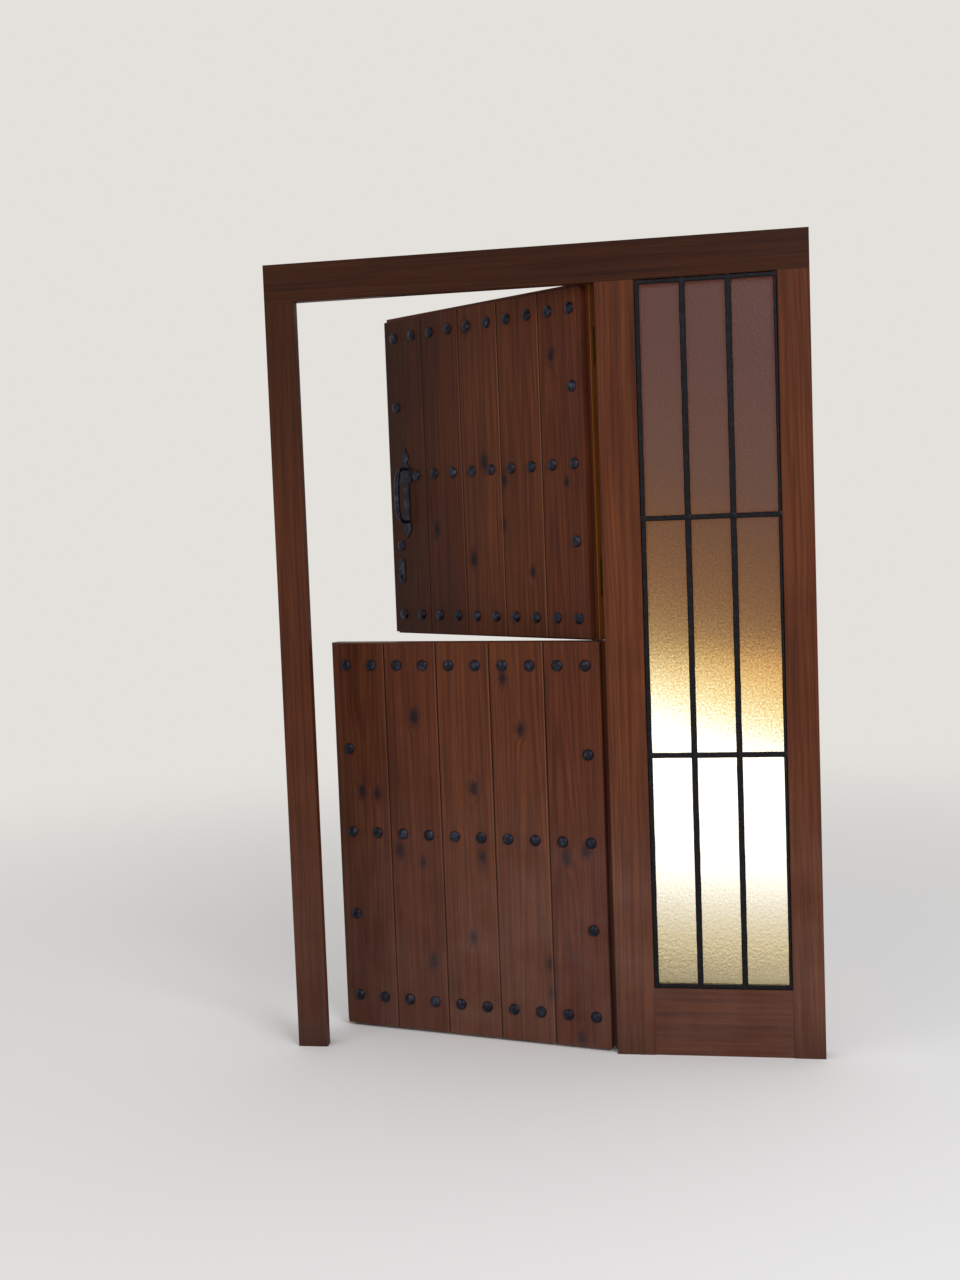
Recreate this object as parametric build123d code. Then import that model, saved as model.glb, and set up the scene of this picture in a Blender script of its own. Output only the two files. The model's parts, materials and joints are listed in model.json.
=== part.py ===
"""Dutch stable door: a two-leaf plank door in a timber frame with a glazed sidelight.

Millimetres, +Z up. X = 0 is the middle of the mullion, Y = 0 the middle of the frame's depth and
Z = 0 the floor under the mullion's foot. The street side is -Y; both leaves open to +Y.
"""
from build123d import *
import math
import os

# Frame
door_width = 830.0
door_height = 2100.0
sidelight_width = 373.0
frame_depth = 70.0
jamb_width = 84.0
mullion_width = 105.0
head_height = 105.0
sill_height = 186.0
sill_setback = 3.0
arris = 2.5
door_rebate = 13.0
glass_rebate = 12.0
glass_stop_depth = 30.0

# Mortise and tenon joints of the frame
post_tenon_thickness = 22.0
post_tenon_length = 55.0
sill_tenon_thickness = 24.0
sill_tenon_length = 28.0
tenon_shoulder = 15.0
tenon_end_gap = 2.0

# Glazing and grille
glass_thickness = 5.0
glass_edge_gap = 3.0
bead_width = 17.0
bead_depth = 16.0
bead_chamfer = 6.0
grille_bar = 12.0
grille_setback = 4.0
grille_fit = 0.5
grille_let_in = 10.0
grille_upright_count = 2
grille_cross_heights = (828.0, 1468.0)

# Holes for the fixings that hold the jambs to a wall
fixing_hole_radius = 5.0
fixing_count = 4
fixing_first_height = 250.0
fixing_pitch = 540.0

# Leaves
plank_count = 5
plank_thickness = 22.0
plank_setback = 9.0
plank_joint_gap = 0.4
plank_vee = 3.5
tongue_thickness = 7.0
tongue_length = 7.0
groove_clearance = 0.3
leaf_back_setback = 1.0
hinge_side_gap = 3.0
lock_side_gap = 5.0
rebate_side_gap = 4.0
rebate_seat_gap = 2.0
head_gap = 3.0
floor_gap = 8.0
lower_leaf_top = 1140.0
meeting_gap = 2.0
drip_step = 6.0
stile_width = 100.0
rail_height = 130.0
kick_rail_height = 174.0
drip_rail_height = 121.0
lower_middle_rail_height = 584.0
upper_middle_rail_height = 1626.0
leaf_tenon_thickness = 12.0
leaf_tenon_length = 45.0
leaf_tenon_shoulder = 20.0
leaf_chamfer = 3.0
lower_rest_angle = 13.0
upper_rest_angle = 36.5

# Studs
stud_radius = 16.0
stud_sides = 8
stud_shoulder = (13.2, 5.5)
stud_crown = (7.0, 9.5)
stud_shank = 5.0
stud_bite = 12.0
fixing_clearance = 0.1
key_stud_rise = 94.25

# Hinges
hinge_height = 100.0
hinge_end_inset = 170.0
knuckle_radius = 7.5
knuckle_gap = 0.3
hinge_pin_radius = 4.5
hinge_pin_fit = 0.03
hinge_running_fit = 0.1
hinge_plate_thickness = 2.5
hinge_plate_width = 30.0
hinge_plate_gap = 0.5
knuckle_back_gap = 0.5
hinge_screw_pitch = 36.0
pin_cap_height = 3.0

# Holes in the metalwork: countersunk for screws, punched square for nails
screw_radius = 2.1
screw_head_radius = 4.1
nail_hole_width = 4.0
nail_inset = 6.0

# Pull handle
pull_edge_distance = 74.0
pull_above_key = 117.0
pull_length = 274.0
pull_plate_thickness = 3.0
pull_shaft_width = 26.0
pull_shoulder_width = 62.0
pull_shoulder_below_top = 81.0
pull_neck_width = 14.0
pull_neck_length = 7.0
pull_tip_length = 13.0
pull_finial_width = 32.0
pull_leaf_width = 38.0
pull_leaf_length = 38.0
pull_grip_sides = 8
pull_grip_spans = 10
pull_grip_end_radius = 5.5
pull_grip_middle_radius = 8.5
pull_grip_reach = 36.0
pull_grip_below_top = 63.0
pull_grip_length = 162.0
pull_grip_squareness = 0.6

# Mortise lock
key_rise = 178.0
key_edge_distance = 38.0
lock_case_thickness = 16.0
lock_case_depth = 76.0
lock_case_below_key = 40.0
lock_case_above_key = 78.0
lock_wall = 1.5
forend_width = 22.0
forend_height = 160.0
forend_thickness = 3.0
bolt_thickness = 10.0
bolt_height = 30.0
bolt_length = 56.0
bolt_above_key = 44.0
bolt_throw = 20.0
bolt_fit = 0.3
keyhole_radius = 4.5
keyhole_slot = 4.0
keyhole_drop = 15.0
escutcheon_height = 76.0
escutcheon_width = 32.0
escutcheon_thickness = 2.5
escutcheon_above_key = 17.0
strike_thickness = 2.0
strike_height = 130.0
strike_pocket_clearance = 6.0

# Sliding bolts on the inner faces
rod_radius = 6.0
rod_fit = 0.3
rod_travel = 36.0
rod_overhang = 30.0
bolt_plate_thickness = 3.0
bolt_plate_width = 40.0
bolt_plate_margin = 12.0
staple_width = 14.0
staple_wall = 4.0
knob_stem = 7.0
knob_width = 14.0
knob_crown = 9.0
knob_height = 10.0
knob_reach = 16.0
keeper_length = 36.0
keeper_gap = 10.0
lower_bolt_below_top = 65.0
joining_bolt_edge_distance = 150.0
joining_bolt_rise = 10.0

# Positions that follow from the sizes above
front = -frame_depth / 2
back = frame_depth / 2
mullion_left = -mullion_width / 2
mullion_right = mullion_width / 2
left_face = mullion_left - door_width
left_outer = left_face - jamb_width
right_face = mullion_right + sidelight_width
right_outer = right_face + jamb_width
head_top = door_height + head_height
leaf_front = front + plank_setback
plank_back = leaf_front + plank_thickness
leaf_back = back - leaf_back_setback
rebate_front = plank_back - rebate_seat_gap
glass_stop = front + glass_stop_depth
plank_hinge_edge = mullion_left - hinge_side_gap
plank_lock_edge = left_face + lock_side_gap
plank_width = (plank_hinge_edge - plank_lock_edge) / plank_count
stile_hinge_edge = mullion_left + door_rebate - hinge_side_gap
stile_lock_edge = left_face - door_rebate + rebate_side_gap
upper_stile_bottom = lower_leaf_top + meeting_gap
upper_plank_bottom = upper_stile_bottom + drip_step
upper_plank_top = door_height - head_gap
upper_stile_top = door_height + door_rebate - head_gap
hinge_x = mullion_left + door_rebate - hinge_side_gap / 2
hinge_y = back + knuckle_back_gap + knuckle_radius
hinge_axis = Axis((hinge_x, hinge_y, 0), (0, 0, -1))
hinge_plate_back = hinge_y - knuckle_radius - 1.0
hinge_plate_front = hinge_plate_back - hinge_plate_width
key_x = plank_lock_edge + key_edge_distance
key_height = upper_stile_bottom + key_rise
key_stud_height = key_height + key_stud_rise
pull_bottom = key_height + pull_above_key
pull_top = pull_bottom + pull_length
pull_shoulder_height = pull_top - pull_shoulder_below_top
pull_grip_top = pull_top - pull_grip_below_top
pull_grip_bottom = pull_grip_top - pull_grip_length
lower_bolt_height = lower_leaf_top - lower_bolt_below_top
lock_middle_y = (plank_back + leaf_back) / 2

# Rails of each leaf, as (bottom, top)
lower_rails = {
    "bottom_rail": (floor_gap, floor_gap + kick_rail_height),
    "middle_rail": (
        lower_middle_rail_height - rail_height / 2,
        lower_middle_rail_height + rail_height / 2,
    ),
    "top_rail": (lower_leaf_top - rail_height, lower_leaf_top),
}
upper_rails = {
    "bottom_rail": (upper_stile_bottom, upper_stile_bottom + drip_rail_height),
    "middle_rail": (
        upper_middle_rail_height - rail_height / 2,
        upper_middle_rail_height + rail_height / 2,
    ),
    "top_rail": (upper_stile_top - rail_height, upper_stile_top),
}


def block(x, y, z):
    """A box from its (low, high) pairs along X, Y and Z."""
    size = [high - low for low, high in (x, y, z)]
    middle = [(high + low) / 2 for low, high in (x, y, z)]
    return Pos(*middle) * Box(*size)


def prism(points, z):
    """A polygon in plan, extruded from z[0] to z[1]."""
    face = make_face(Polyline(*points, close=True))
    return Pos(0, 0, z[0]) * extrude(face, z[1] - z[0], dir=(0, 0, 1))


def rod(start, direction, radius, length):
    """A round bar from its start along a direction."""
    return Plane(start, z_dir=direction) * Cylinder(
        radius, length, align=(Align.CENTER, Align.CENTER, Align.MIN)
    )


def joined(pieces):
    """One solid from pieces that meet."""
    whole = pieces[0]
    for piece in pieces[1:]:
        whole = whole + piece
    return whole


def group(pieces):
    """Separate like pieces, kept in one node."""
    return Compound([solid for piece in pieces for solid in piece.solids()])


def countersunk_hole(thickness):
    """A tapered hole that a screw's flat head fills, wide on the plane z = 0."""
    along = (Align.CENTER, Align.CENTER, Align.MIN)
    return Cone(screw_head_radius, screw_radius, thickness, align=along)


def nail_hole(thickness):
    """A square punched hole that starts on the plane z = 0."""
    along = (Align.CENTER, Align.CENTER, Align.MIN)
    return Box(nail_hole_width, nail_hole_width, thickness, align=along)


def cut_holes(plate, places, hole):
    """The plate with a copy of the hole at each (point on the face, direction) place."""
    for point, direction in places:
        plate = plate - Plane(point, z_dir=direction) * hole
    return plate


# Frame members
def left_jamb():
    outline = [
        (left_outer, front),
        (left_face - arris, front),
        (left_face, front + arris),
        (left_face, rebate_front),
        (left_face - door_rebate, rebate_front),
        (left_face - door_rebate, back),
        (left_outer, back),
    ]
    return prism(outline, (0, door_height)) + post_tenon(*post_tenon_spans[0])


def mullion():
    outline = [
        (mullion_left, front + arris),
        (mullion_left + arris, front),
        (mullion_right - arris, front),
        (mullion_right, front + arris),
        (mullion_right, glass_stop),
        (mullion_right - glass_rebate, glass_stop),
        (mullion_right - glass_rebate, back),
        (mullion_left + door_rebate, back),
        (mullion_left + door_rebate, rebate_front),
        (mullion_left, rebate_front),
    ]
    post = prism(outline, (0, door_height)) + post_tenon(*post_tenon_spans[1])
    return post - sill_tenon(mullion_right - glass_rebate, -1, tenon_end_gap)


def right_jamb():
    outline = [
        (right_face, front + arris),
        (right_face + arris, front),
        (right_outer, front),
        (right_outer, back),
        (right_face + glass_rebate, back),
        (right_face + glass_rebate, glass_stop),
        (right_face, glass_stop),
    ]
    post = prism(outline, (0, door_height)) + post_tenon(*post_tenon_spans[2])
    return post - sill_tenon(right_face + glass_rebate, 1, tenon_end_gap)


post_tenon_spans = [
    (left_outer + tenon_shoulder, left_face - door_rebate - tenon_shoulder / 2),
    (mullion_left + door_rebate + tenon_shoulder / 2, mullion_right - glass_rebate - tenon_shoulder / 2),
    (right_face + glass_rebate + tenon_shoulder / 2, right_outer - tenon_shoulder),
]


def post_tenon(low, high, extra=0.0):
    """The tenon on a post's top, or its mortise when extra is the gap at the end."""
    y = (-post_tenon_thickness / 2, post_tenon_thickness / 2)
    return block((low, high), y, (door_height, door_height + post_tenon_length + extra))


def sill_tenon(shoulder, side, extra=0.0):
    """The tenon on the sill rail's end at one side, or its mortise."""
    reach = shoulder + side * (sill_tenon_length + extra)
    middle = (glass_stop + back) / 2
    y = (middle - sill_tenon_thickness / 2, middle + sill_tenon_thickness / 2)
    z = (tenon_shoulder, sill_height - glass_rebate - tenon_shoulder)
    return block((min(shoulder, reach), max(shoulder, reach)), y, z)


def head_rail():
    head = block((left_outer, right_outer), (front, back), (door_height, head_top))
    for span in post_tenon_spans:
        head = head - post_tenon(*span, extra=tenon_end_gap)
    door_cut = (left_face - door_rebate, mullion_left + door_rebate)
    head = head - block(door_cut, (rebate_front, back), (door_height, door_height + door_rebate))
    glass_cut = (mullion_right - glass_rebate, right_face + glass_rebate)
    head = head - block(glass_cut, (glass_stop, back), (door_height, door_height + glass_rebate))
    for low, high in ((left_face, mullion_left), (mullion_right, right_face)):
        edge = Polyline(
            (front, door_height), (front + arris, door_height), (front, door_height + arris), close=True
        )
        wedge = extrude(make_face(Plane.YZ * edge), high - low, dir=(1, 0, 0))
        head = head - Pos(low, 0, 0) * wedge
    return head


def sill_rail():
    face = front + sill_setback
    rail = block((mullion_right, right_face), (face, back), (0, sill_height))
    rail = rail - block(
        (mullion_right, right_face), (glass_stop, back), (sill_height - glass_rebate, sill_height)
    )
    rear = (mullion_right - glass_rebate, right_face + glass_rebate)
    rail = rail + block(rear, (glass_stop, back), (0, sill_height - glass_rebate))
    rail = rail + sill_tenon(rear[0], -1) + sill_tenon(rear[1], 1)
    edge = Polyline(
        (face, sill_height), (face + arris, sill_height), (face, sill_height - arris), close=True
    )
    wedge = extrude(make_face(Plane.YZ * edge), sidelight_width, dir=(1, 0, 0))
    return rail - Pos(mullion_right, 0, 0) * wedge


def jamb_fixing_holes():
    """Through holes for the wall fixings, hidden in the door rebate and under the glazing bead."""
    holes = []
    door_y = (rebate_front + back) / 2
    bead_y = (glass_stop + back) / 2 + bead_depth / 2
    for step in range(fixing_count):
        z = fixing_first_height + step * fixing_pitch
        holes.append(rod((left_outer - 1, door_y, z), (1, 0, 0), fixing_hole_radius, jamb_width + 2))
        start = right_face - 1
        holes.append(rod((start, bead_y, z), (1, 0, 0), fixing_hole_radius, jamb_width + 2))
    return holes


# Glazing
def glass_pane():
    x = (mullion_right - glass_rebate + glass_edge_gap, right_face + glass_rebate - glass_edge_gap)
    z = (sill_height - glass_rebate + glass_edge_gap, door_height + glass_rebate - glass_edge_gap)
    return block(x, (glass_stop, glass_stop + glass_thickness), z)


def glazing_beads():
    """Four chamfered beads with mitred corners that hold the pane from the inside."""
    low_x = mullion_right - glass_rebate
    high_x = right_face + glass_rebate
    low_z = sill_height - glass_rebate
    high_z = door_height + glass_rebate
    y = glass_stop + glass_thickness
    profile = [(0, 0), (bead_width, 0), (bead_width, bead_depth - bead_chamfer)]
    profile += [(bead_width - bead_chamfer, bead_depth), (0, bead_depth)]
    beads = []
    sides = (
        ((low_x, low_z), (0, 1), (1, 0), high_z - low_z),
        ((high_x, high_z), (0, -1), (-1, 0), high_z - low_z),
        ((high_x, low_z), (-1, 0), (0, 1), high_x - low_x),
        ((low_x, high_z), (1, 0), (0, -1), high_x - low_x),
    )
    for corner, along, inward, length in sides:
        start = (corner[0], y, corner[1])
        plane = Plane(start, x_dir=(inward[0], 0, inward[1]), z_dir=(along[0], 0, along[1]))
        depth_sign = 1 if plane.y_dir.Y > 0 else -1
        section = make_face(Polyline(*[(a, b * depth_sign) for a, b in profile], close=True))
        bead = extrude(section, length, dir=(0, 0, 1))
        reach = bead_width + 1
        for end, sign in ((0, 1), (length, -1)):
            mitre = Polyline(
                (-1, end - sign * 1), (reach, end - sign * 1), (reach, end + sign * reach), close=True
            )
            wedge = extrude(make_face(Plane.XZ * mitre), 2 * bead_depth, both=True)
            bead = bead - wedge
        beads.append(plane * bead)
    return group(beads)


# Grille
grille_left = mullion_right + grille_fit
grille_right = right_face - grille_fit
grille_bottom = sill_height + grille_fit
grille_top = door_height - grille_fit
grille_front = front + grille_setback
grille_back = grille_front + grille_bar


def grille_cross_bar(height, let_in, clearance):
    """A cross bar that runs into both posts, or its sockets when there is a clearance."""
    half = grille_bar / 2 + clearance
    return block(
        (mullion_right - let_in, right_face + let_in),
        (grille_front - clearance, grille_back + clearance),
        (height - half, height + half),
    )


def grille():
    """Forged square bars in one plane: an outer frame, uprights and cross bars let into the posts."""
    x = (grille_left, grille_right)
    y = (grille_front, grille_back)
    z = (grille_bottom, grille_top)
    bars = [
        block(x, y, (z[0], z[0] + grille_bar)),
        block(x, y, (z[1] - grille_bar, z[1])),
    ]
    pitch = (x[1] - x[0] - grille_bar) / (grille_upright_count + 1)
    for number in range(grille_upright_count + 2):
        low = x[0] + number * pitch
        bars.append(block((low, low + grille_bar), y, z))
    for height in grille_cross_heights:
        bars.append(grille_cross_bar(height, grille_let_in, 0))
    return joined(bars)


# Leaves, modelled closed and turned to their rest angle at the end
def plank_edges(number):
    """The X range of a plank, counted from the hinge side."""
    high = plank_hinge_edge - (number - 1) * plank_width
    return high - plank_width, high


def plank(number, z):
    """A tongued and grooved board with a V along each joint."""
    low, high = plank_edges(number)
    half_gap = plank_joint_gap / 2
    middle = (leaf_front + plank_back) / 2
    tongue = tongue_thickness / 2
    groove = tongue + groove_clearance
    outline = [(low, leaf_front), (high, leaf_front), (high, plank_back), (low, plank_back)]
    if number > 1:
        high -= half_gap
        groove_end = high - tongue_length - 1
        outline[1:3] = [
            (high - plank_vee, leaf_front),
            (high, leaf_front + plank_vee),
            (high, middle - groove),
            (groove_end, middle - groove),
            (groove_end, middle + groove),
            (high, middle + groove),
            (high, plank_back),
        ]
    if number < plank_count:
        low += half_gap
        tongue_end = low - tongue_length
        outline[-1:] = [
            (low, plank_back),
            (low, middle + tongue),
            (tongue_end, middle + tongue),
            (tongue_end, middle - tongue),
            (low, middle - tongue),
            (low, leaf_front + plank_vee),
        ]
        outline[0] = (low + plank_vee, leaf_front)
    return prism(outline, z)


def rail_middle(span):
    return (span[0] + span[1]) / 2


def stud_places(rails, skipped=(), key_stud=None):
    """(x, z) of every stud: a pair on each plank along each rail, and two between on each stile.

    A key_stud is the height of the lock stile's lower one, where a key plate and a pull leave room.
    """
    columns = [plank_hinge_edge - plank_width * (0.25 + 0.5 * i) for i in range(2 * plank_count)]
    rows = [rail_middle(rails[name]) for name in ("bottom_rail", "middle_rail", "top_rail")]
    places = [(x, z) for z in rows for x in columns]
    between = [(low + high) / 2 for low, high in zip(rows, rows[1:])]
    lock_side = list(between)
    if key_stud is not None:
        lock_side[0] = key_stud
    for hinge_z, lock_z in zip(between, lock_side):
        places += [(columns[0], hinge_z), (columns[-1], lock_z)]
    return [place for i, place in enumerate(places) if i not in skipped]


def stud_tier(low, high):
    """One ring of hammered flats between two (radius, height) outlines, a flat side up and down."""
    half_turn = 180 / stud_sides
    outline = Pos(0, 0, low[1]) * Rot(0, 0, half_turn) * RegularPolygon(low[0], stud_sides)
    draw_in = (low[0] - high[0]) * math.cos(math.radians(half_turn))
    rise = high[1] - low[1]
    return extrude(outline, rise, taper=math.degrees(math.atan2(draw_in, rise)))


def stud_head():
    """A domed head with the facets of the hammer, its face on the plane z = 0."""
    rim = (stud_radius, 0)
    return stud_tier(rim, stud_shoulder) + stud_tier(stud_shoulder, stud_crown)


def stud(head, x, z):
    """A forged nail: the head on the board and a square shank through it."""
    return Plane((x, leaf_front, z), z_dir=(0, -1, 0)) * head + shank(x, z, 0)


def shank(x, z, clearance):
    half = stud_shank / 2 + clearance
    depth = (leaf_front, plank_back + stud_bite + clearance)
    return block((x - half, x + half), depth, (z - half, z + half))


def cut_shanks(piece, places):
    """The piece with the square holes of the studs that reach it."""
    box = piece.bounding_box()
    for x, z in places:
        if box.min.X < x < box.max.X and box.min.Z < z < box.max.Z:
            piece = piece - shank(x, z, fixing_clearance)
    return piece


def stile(side, z, rails):
    """A vertical member behind the planks, chamfered inside and mortised for the rails."""
    if side == "hinge":
        outer, inner, sign = stile_hinge_edge, stile_hinge_edge - stile_width, -1
    else:
        outer, inner, sign = stile_lock_edge, stile_lock_edge + stile_width, 1
    outline = [
        (outer, plank_back),
        (inner, plank_back),
        (inner, leaf_back - leaf_chamfer),
        (inner - sign * leaf_chamfer, leaf_back),
        (outer, leaf_back),
    ]
    piece = prism(outline, z)
    for span in rails.values():
        piece = piece - rail_tenon(span, inner, -sign, tenon_end_gap)
    return piece


def rail_tenon(span, shoulder, side, extra=0.0):
    reach = shoulder + side * (leaf_tenon_length + extra)
    y = (lock_middle_y - leaf_tenon_thickness / 2, lock_middle_y + leaf_tenon_thickness / 2)
    z = (span[0] + leaf_tenon_shoulder, span[1] - leaf_tenon_shoulder)
    return block((min(shoulder, reach), max(shoulder, reach)), y, z)


def rail(name, span):
    """A horizontal member between the stiles, chamfered on the edges that face a panel."""
    x = (stile_lock_edge + stile_width, stile_hinge_edge - stile_width)
    low_chamfer = 0 if name == "bottom_rail" else leaf_chamfer
    high_chamfer = 0 if name == "top_rail" else leaf_chamfer
    outline = [(plank_back, span[0])]
    outline += [(leaf_back - low_chamfer, span[0])]
    outline += [(leaf_back, span[0] + low_chamfer)] if low_chamfer else []
    outline += [(leaf_back, span[1] - high_chamfer)] if high_chamfer else []
    outline += [(leaf_back - high_chamfer, span[1])]
    outline += [(plank_back, span[1])]
    face = make_face(Plane.YZ * Polyline(*outline, close=True))
    piece = Pos(x[0], 0, 0) * extrude(face, x[1] - x[0], dir=(1, 0, 0))
    return piece + rail_tenon(span, x[0], -1) + rail_tenon(span, x[1], 1)


# Lift-off hinges: the lower knuckle stands on the frame, the upper hangs on the leaf
def hinge_heights(z):
    return (z[0] + hinge_end_inset, z[1] - hinge_end_inset)


def hinge_screw_places(height, side):
    """Screws of one plate; side is +1 into the mullion and -1 into the leaf."""
    x = hinge_x - side * (hinge_plate_gap / 2) + side * hinge_plate_gap
    y = (hinge_plate_front + hinge_plate_back) / 2
    return [
        ((x, y, height + step * hinge_screw_pitch), (side, 0, 0)) for step in (-1, 0, 1)
    ]


def hinge_plate(height, side):
    """A plate with its half of the knuckle: +1 for the frame, -1 for the leaf."""
    near = hinge_x + side * hinge_plate_gap / 2
    far = near + side * hinge_plate_thickness
    x = (min(near, far), max(near, far))
    z = (height - hinge_height / 2, height + hinge_height / 2)
    plate = block(x, (hinge_plate_front, hinge_plate_back), z)
    knuckle_length = (hinge_height - knuckle_gap) / 2
    start = z[0] if side > 0 else z[1] - knuckle_length
    plate = plate + block(x, (hinge_plate_back, hinge_y), (start, start + knuckle_length))
    plate = plate + rod((hinge_x, hinge_y, start), (0, 0, 1), knuckle_radius, knuckle_length)
    bore = hinge_pin_radius + (hinge_pin_fit if side > 0 else hinge_running_fit)
    plate = plate - rod((hinge_x, hinge_y, z[0] - 1), (0, 0, 1), bore, hinge_height + 2)
    hole = countersunk_hole(hinge_plate_thickness)
    return cut_holes(plate, hinge_screw_places(height, side), hole)


def hinge_recess(height, side):
    """The shallow bed that a plate lies in."""
    near = hinge_x + side * hinge_plate_gap / 2
    far = near + side * hinge_plate_thickness
    x = (min(near, far), max(near, far))
    z = (height - hinge_height / 2, height + hinge_height / 2)
    return block(x, (hinge_plate_front, back + 1), z)


def hinge_pin(height):
    """The pin that stands in the lower knuckle, with a cap under it."""
    foot = height - hinge_height / 2
    pin = rod((hinge_x, hinge_y, foot), (0, 0, 1), hinge_pin_radius, hinge_height)
    cap = rod((hinge_x, hinge_y, foot - pin_cap_height), (0, 0, 1), knuckle_radius, pin_cap_height)
    return pin + cap


# Pull handle and key plates
pull_x = plank_lock_edge + pull_edge_distance


def pull_plate():
    """A hammered back plate: spear finial, round shoulder, shaft and leaf-shaped foot."""
    shaft = pull_shaft_width / 2
    neck = pull_neck_width / 2
    shoulder = pull_shoulder_width / 2
    finial = pull_finial_width / 2
    foot = pull_leaf_width / 2
    finial_top = pull_top - pull_tip_length
    neck_bottom = pull_shoulder_height + shoulder
    neck_top = neck_bottom + pull_neck_length
    leaf_bottom = pull_bottom + pull_tip_length
    leaf_top = leaf_bottom + pull_leaf_length
    line = Polyline((0, pull_top), (neck, finial_top))
    line += ThreePointArc(
        (neck, finial_top), (finial, (finial_top + neck_top) / 2), (neck, neck_top)
    )
    line += Polyline((neck, neck_top), (neck, neck_bottom))
    line += ThreePointArc(
        (neck, neck_bottom), (shoulder, pull_shoulder_height), (shaft, pull_shoulder_height - shoulder)
    )
    line += Polyline((shaft, pull_shoulder_height - shoulder), (shaft, leaf_top))
    line += ThreePointArc(
        (shaft, leaf_top), (foot, (leaf_top + leaf_bottom) / 2), (neck, leaf_bottom)
    )
    line += Polyline((neck, leaf_bottom), (0, pull_bottom), (0, pull_top))
    half = make_face(line)
    face = half + mirror(half, Plane.YZ)
    plate = extrude(face, pull_plate_thickness, dir=(0, 0, 1))
    seat = Plane((pull_x, leaf_front, 0), x_dir=(1, 0, 0), z_dir=(0, -1, 0))
    return seat * plate


def pull_grip():
    """A bowed grip, forged with flats and thicker in the middle, riveted on at both ends."""
    face_y = leaf_front - pull_plate_thickness
    middle = (pull_grip_top + pull_grip_bottom) / 2
    half = (pull_grip_top - pull_grip_bottom) / 2

    def station(turn):
        out = math.sin(turn) ** pull_grip_squareness
        along = math.copysign(abs(math.cos(turn)) ** pull_grip_squareness, math.cos(turn))
        return Vector(pull_x, face_y - pull_grip_reach * out, middle + half * along)

    step = math.pi / pull_grip_spans
    sections = []
    for number in range(pull_grip_spans + 1):
        turn = number * step
        before = station(max(0.0, turn - step / 2))
        after = station(min(math.pi, turn + step / 2))
        swell = math.sin(turn) ** 2
        radius = pull_grip_end_radius + swell * (pull_grip_middle_radius - pull_grip_end_radius)
        direction = after - before
        if number in (0, pull_grip_spans):
            direction = Vector(0, -1 if number == 0 else 1, 0)
        seat = Plane(station(turn), x_dir=(1, 0, 0), z_dir=direction)
        sections.append(seat * RegularPolygon(radius, pull_grip_sides))
    return loft(sections, ruled=True)


def keyhole(y, depth):
    """A round hole with a slot under it, cut through from y over a depth."""
    barrel = rod((key_x, y, key_height), (0, 1, 0), keyhole_radius, depth)
    slot = (key_x - keyhole_slot / 2, key_x + keyhole_slot / 2)
    return barrel + block(slot, (y, y + depth), (key_height - keyhole_drop, key_height))


def key_plate(face_y, side):
    """A rounded plate round the keyhole; side is -1 outside and +1 inside."""
    half = escutcheon_width / 2
    straight = escutcheon_height - escutcheon_width
    face = Rectangle(escutcheon_width, straight)
    face = face + Pos(0, straight / 2) * Circle(half) + Pos(0, -straight / 2) * Circle(half)
    plate = extrude(face, escutcheon_thickness, dir=(0, 0, 1))
    seat = Plane(
        (key_x, face_y, key_height + escutcheon_above_key), x_dir=(1, 0, 0), z_dir=(0, side, 0)
    )
    plate = seat * plate
    y = face_y - 10
    return plate - keyhole(y, 20)


# Mortise lock
case_x = (stile_lock_edge + forend_thickness, stile_lock_edge + forend_thickness + lock_case_depth)
case_y = (lock_middle_y - lock_case_thickness / 2, lock_middle_y + lock_case_thickness / 2)
case_z = (key_height - lock_case_below_key, key_height + lock_case_above_key)
bolt_z = key_height + bolt_above_key


def bolt_slot(clearance, x):
    half_y = bolt_thickness / 2 + clearance
    half_z = bolt_height / 2 + clearance
    return block(
        x, (lock_middle_y - half_y, lock_middle_y + half_y), (bolt_z - half_z, bolt_z + half_z)
    )


def lock_case():
    """A thin steel case, open inside, with a slot for the bolt and a keyhole through it."""
    case = block(case_x, case_y, case_z)
    inner = [(low + lock_wall, high - lock_wall) for low, high in (case_x, case_y, case_z)]
    case = case - block(*inner)
    case = case - bolt_slot(bolt_fit, (case_x[0] - 1, case_x[0] + lock_wall + 1))
    return case - keyhole(case_y[0] - 1, lock_case_thickness + 2)


def lock_forend():
    """The plate let into the stile's edge, with the slot that the bolt shoots through."""
    half_y = forend_width / 2
    middle = (case_z[0] + case_z[1]) / 2
    plate = block(
        (stile_lock_edge, stile_lock_edge + forend_thickness),
        (lock_middle_y - half_y, lock_middle_y + half_y),
        (middle - forend_height / 2, middle + forend_height / 2),
    )
    slot_x = (stile_lock_edge - 1, stile_lock_edge + forend_thickness + 1)
    plate = plate - bolt_slot(bolt_fit, slot_x)
    return cut_holes(plate, forend_screws(), countersunk_hole(forend_thickness))


def forend_screws():
    middle = (case_z[0] + case_z[1]) / 2
    reach = forend_height / 2 - 2 * screw_head_radius
    return [
        ((stile_lock_edge, lock_middle_y, middle + sign * reach), (1, 0, 0)) for sign in (-1, 1)
    ]


def dead_bolt():
    """The flat bolt that the key throws out of the stile's edge."""
    start = stile_lock_edge + bolt_fit
    return bolt_slot(0, (start, start + bolt_length))


def lock_mortise():
    """The room in the lock stile for the case, the forend and the key."""
    half_y = forend_width / 2
    middle = (case_z[0] + case_z[1]) / 2
    forend_bed = block(
        (stile_lock_edge - 1, stile_lock_edge + forend_thickness),
        (lock_middle_y - half_y, lock_middle_y + half_y),
        (middle - forend_height / 2, middle + forend_height / 2),
    )
    return forend_bed + block(case_x, case_y, case_z)


strike_x = left_face - door_rebate


def strike_screws():
    reach = strike_height / 2 - 2 * screw_head_radius
    return [((strike_x, lock_middle_y, bolt_z + sign * reach), (-1, 0, 0)) for sign in (-1, 1)]


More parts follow.
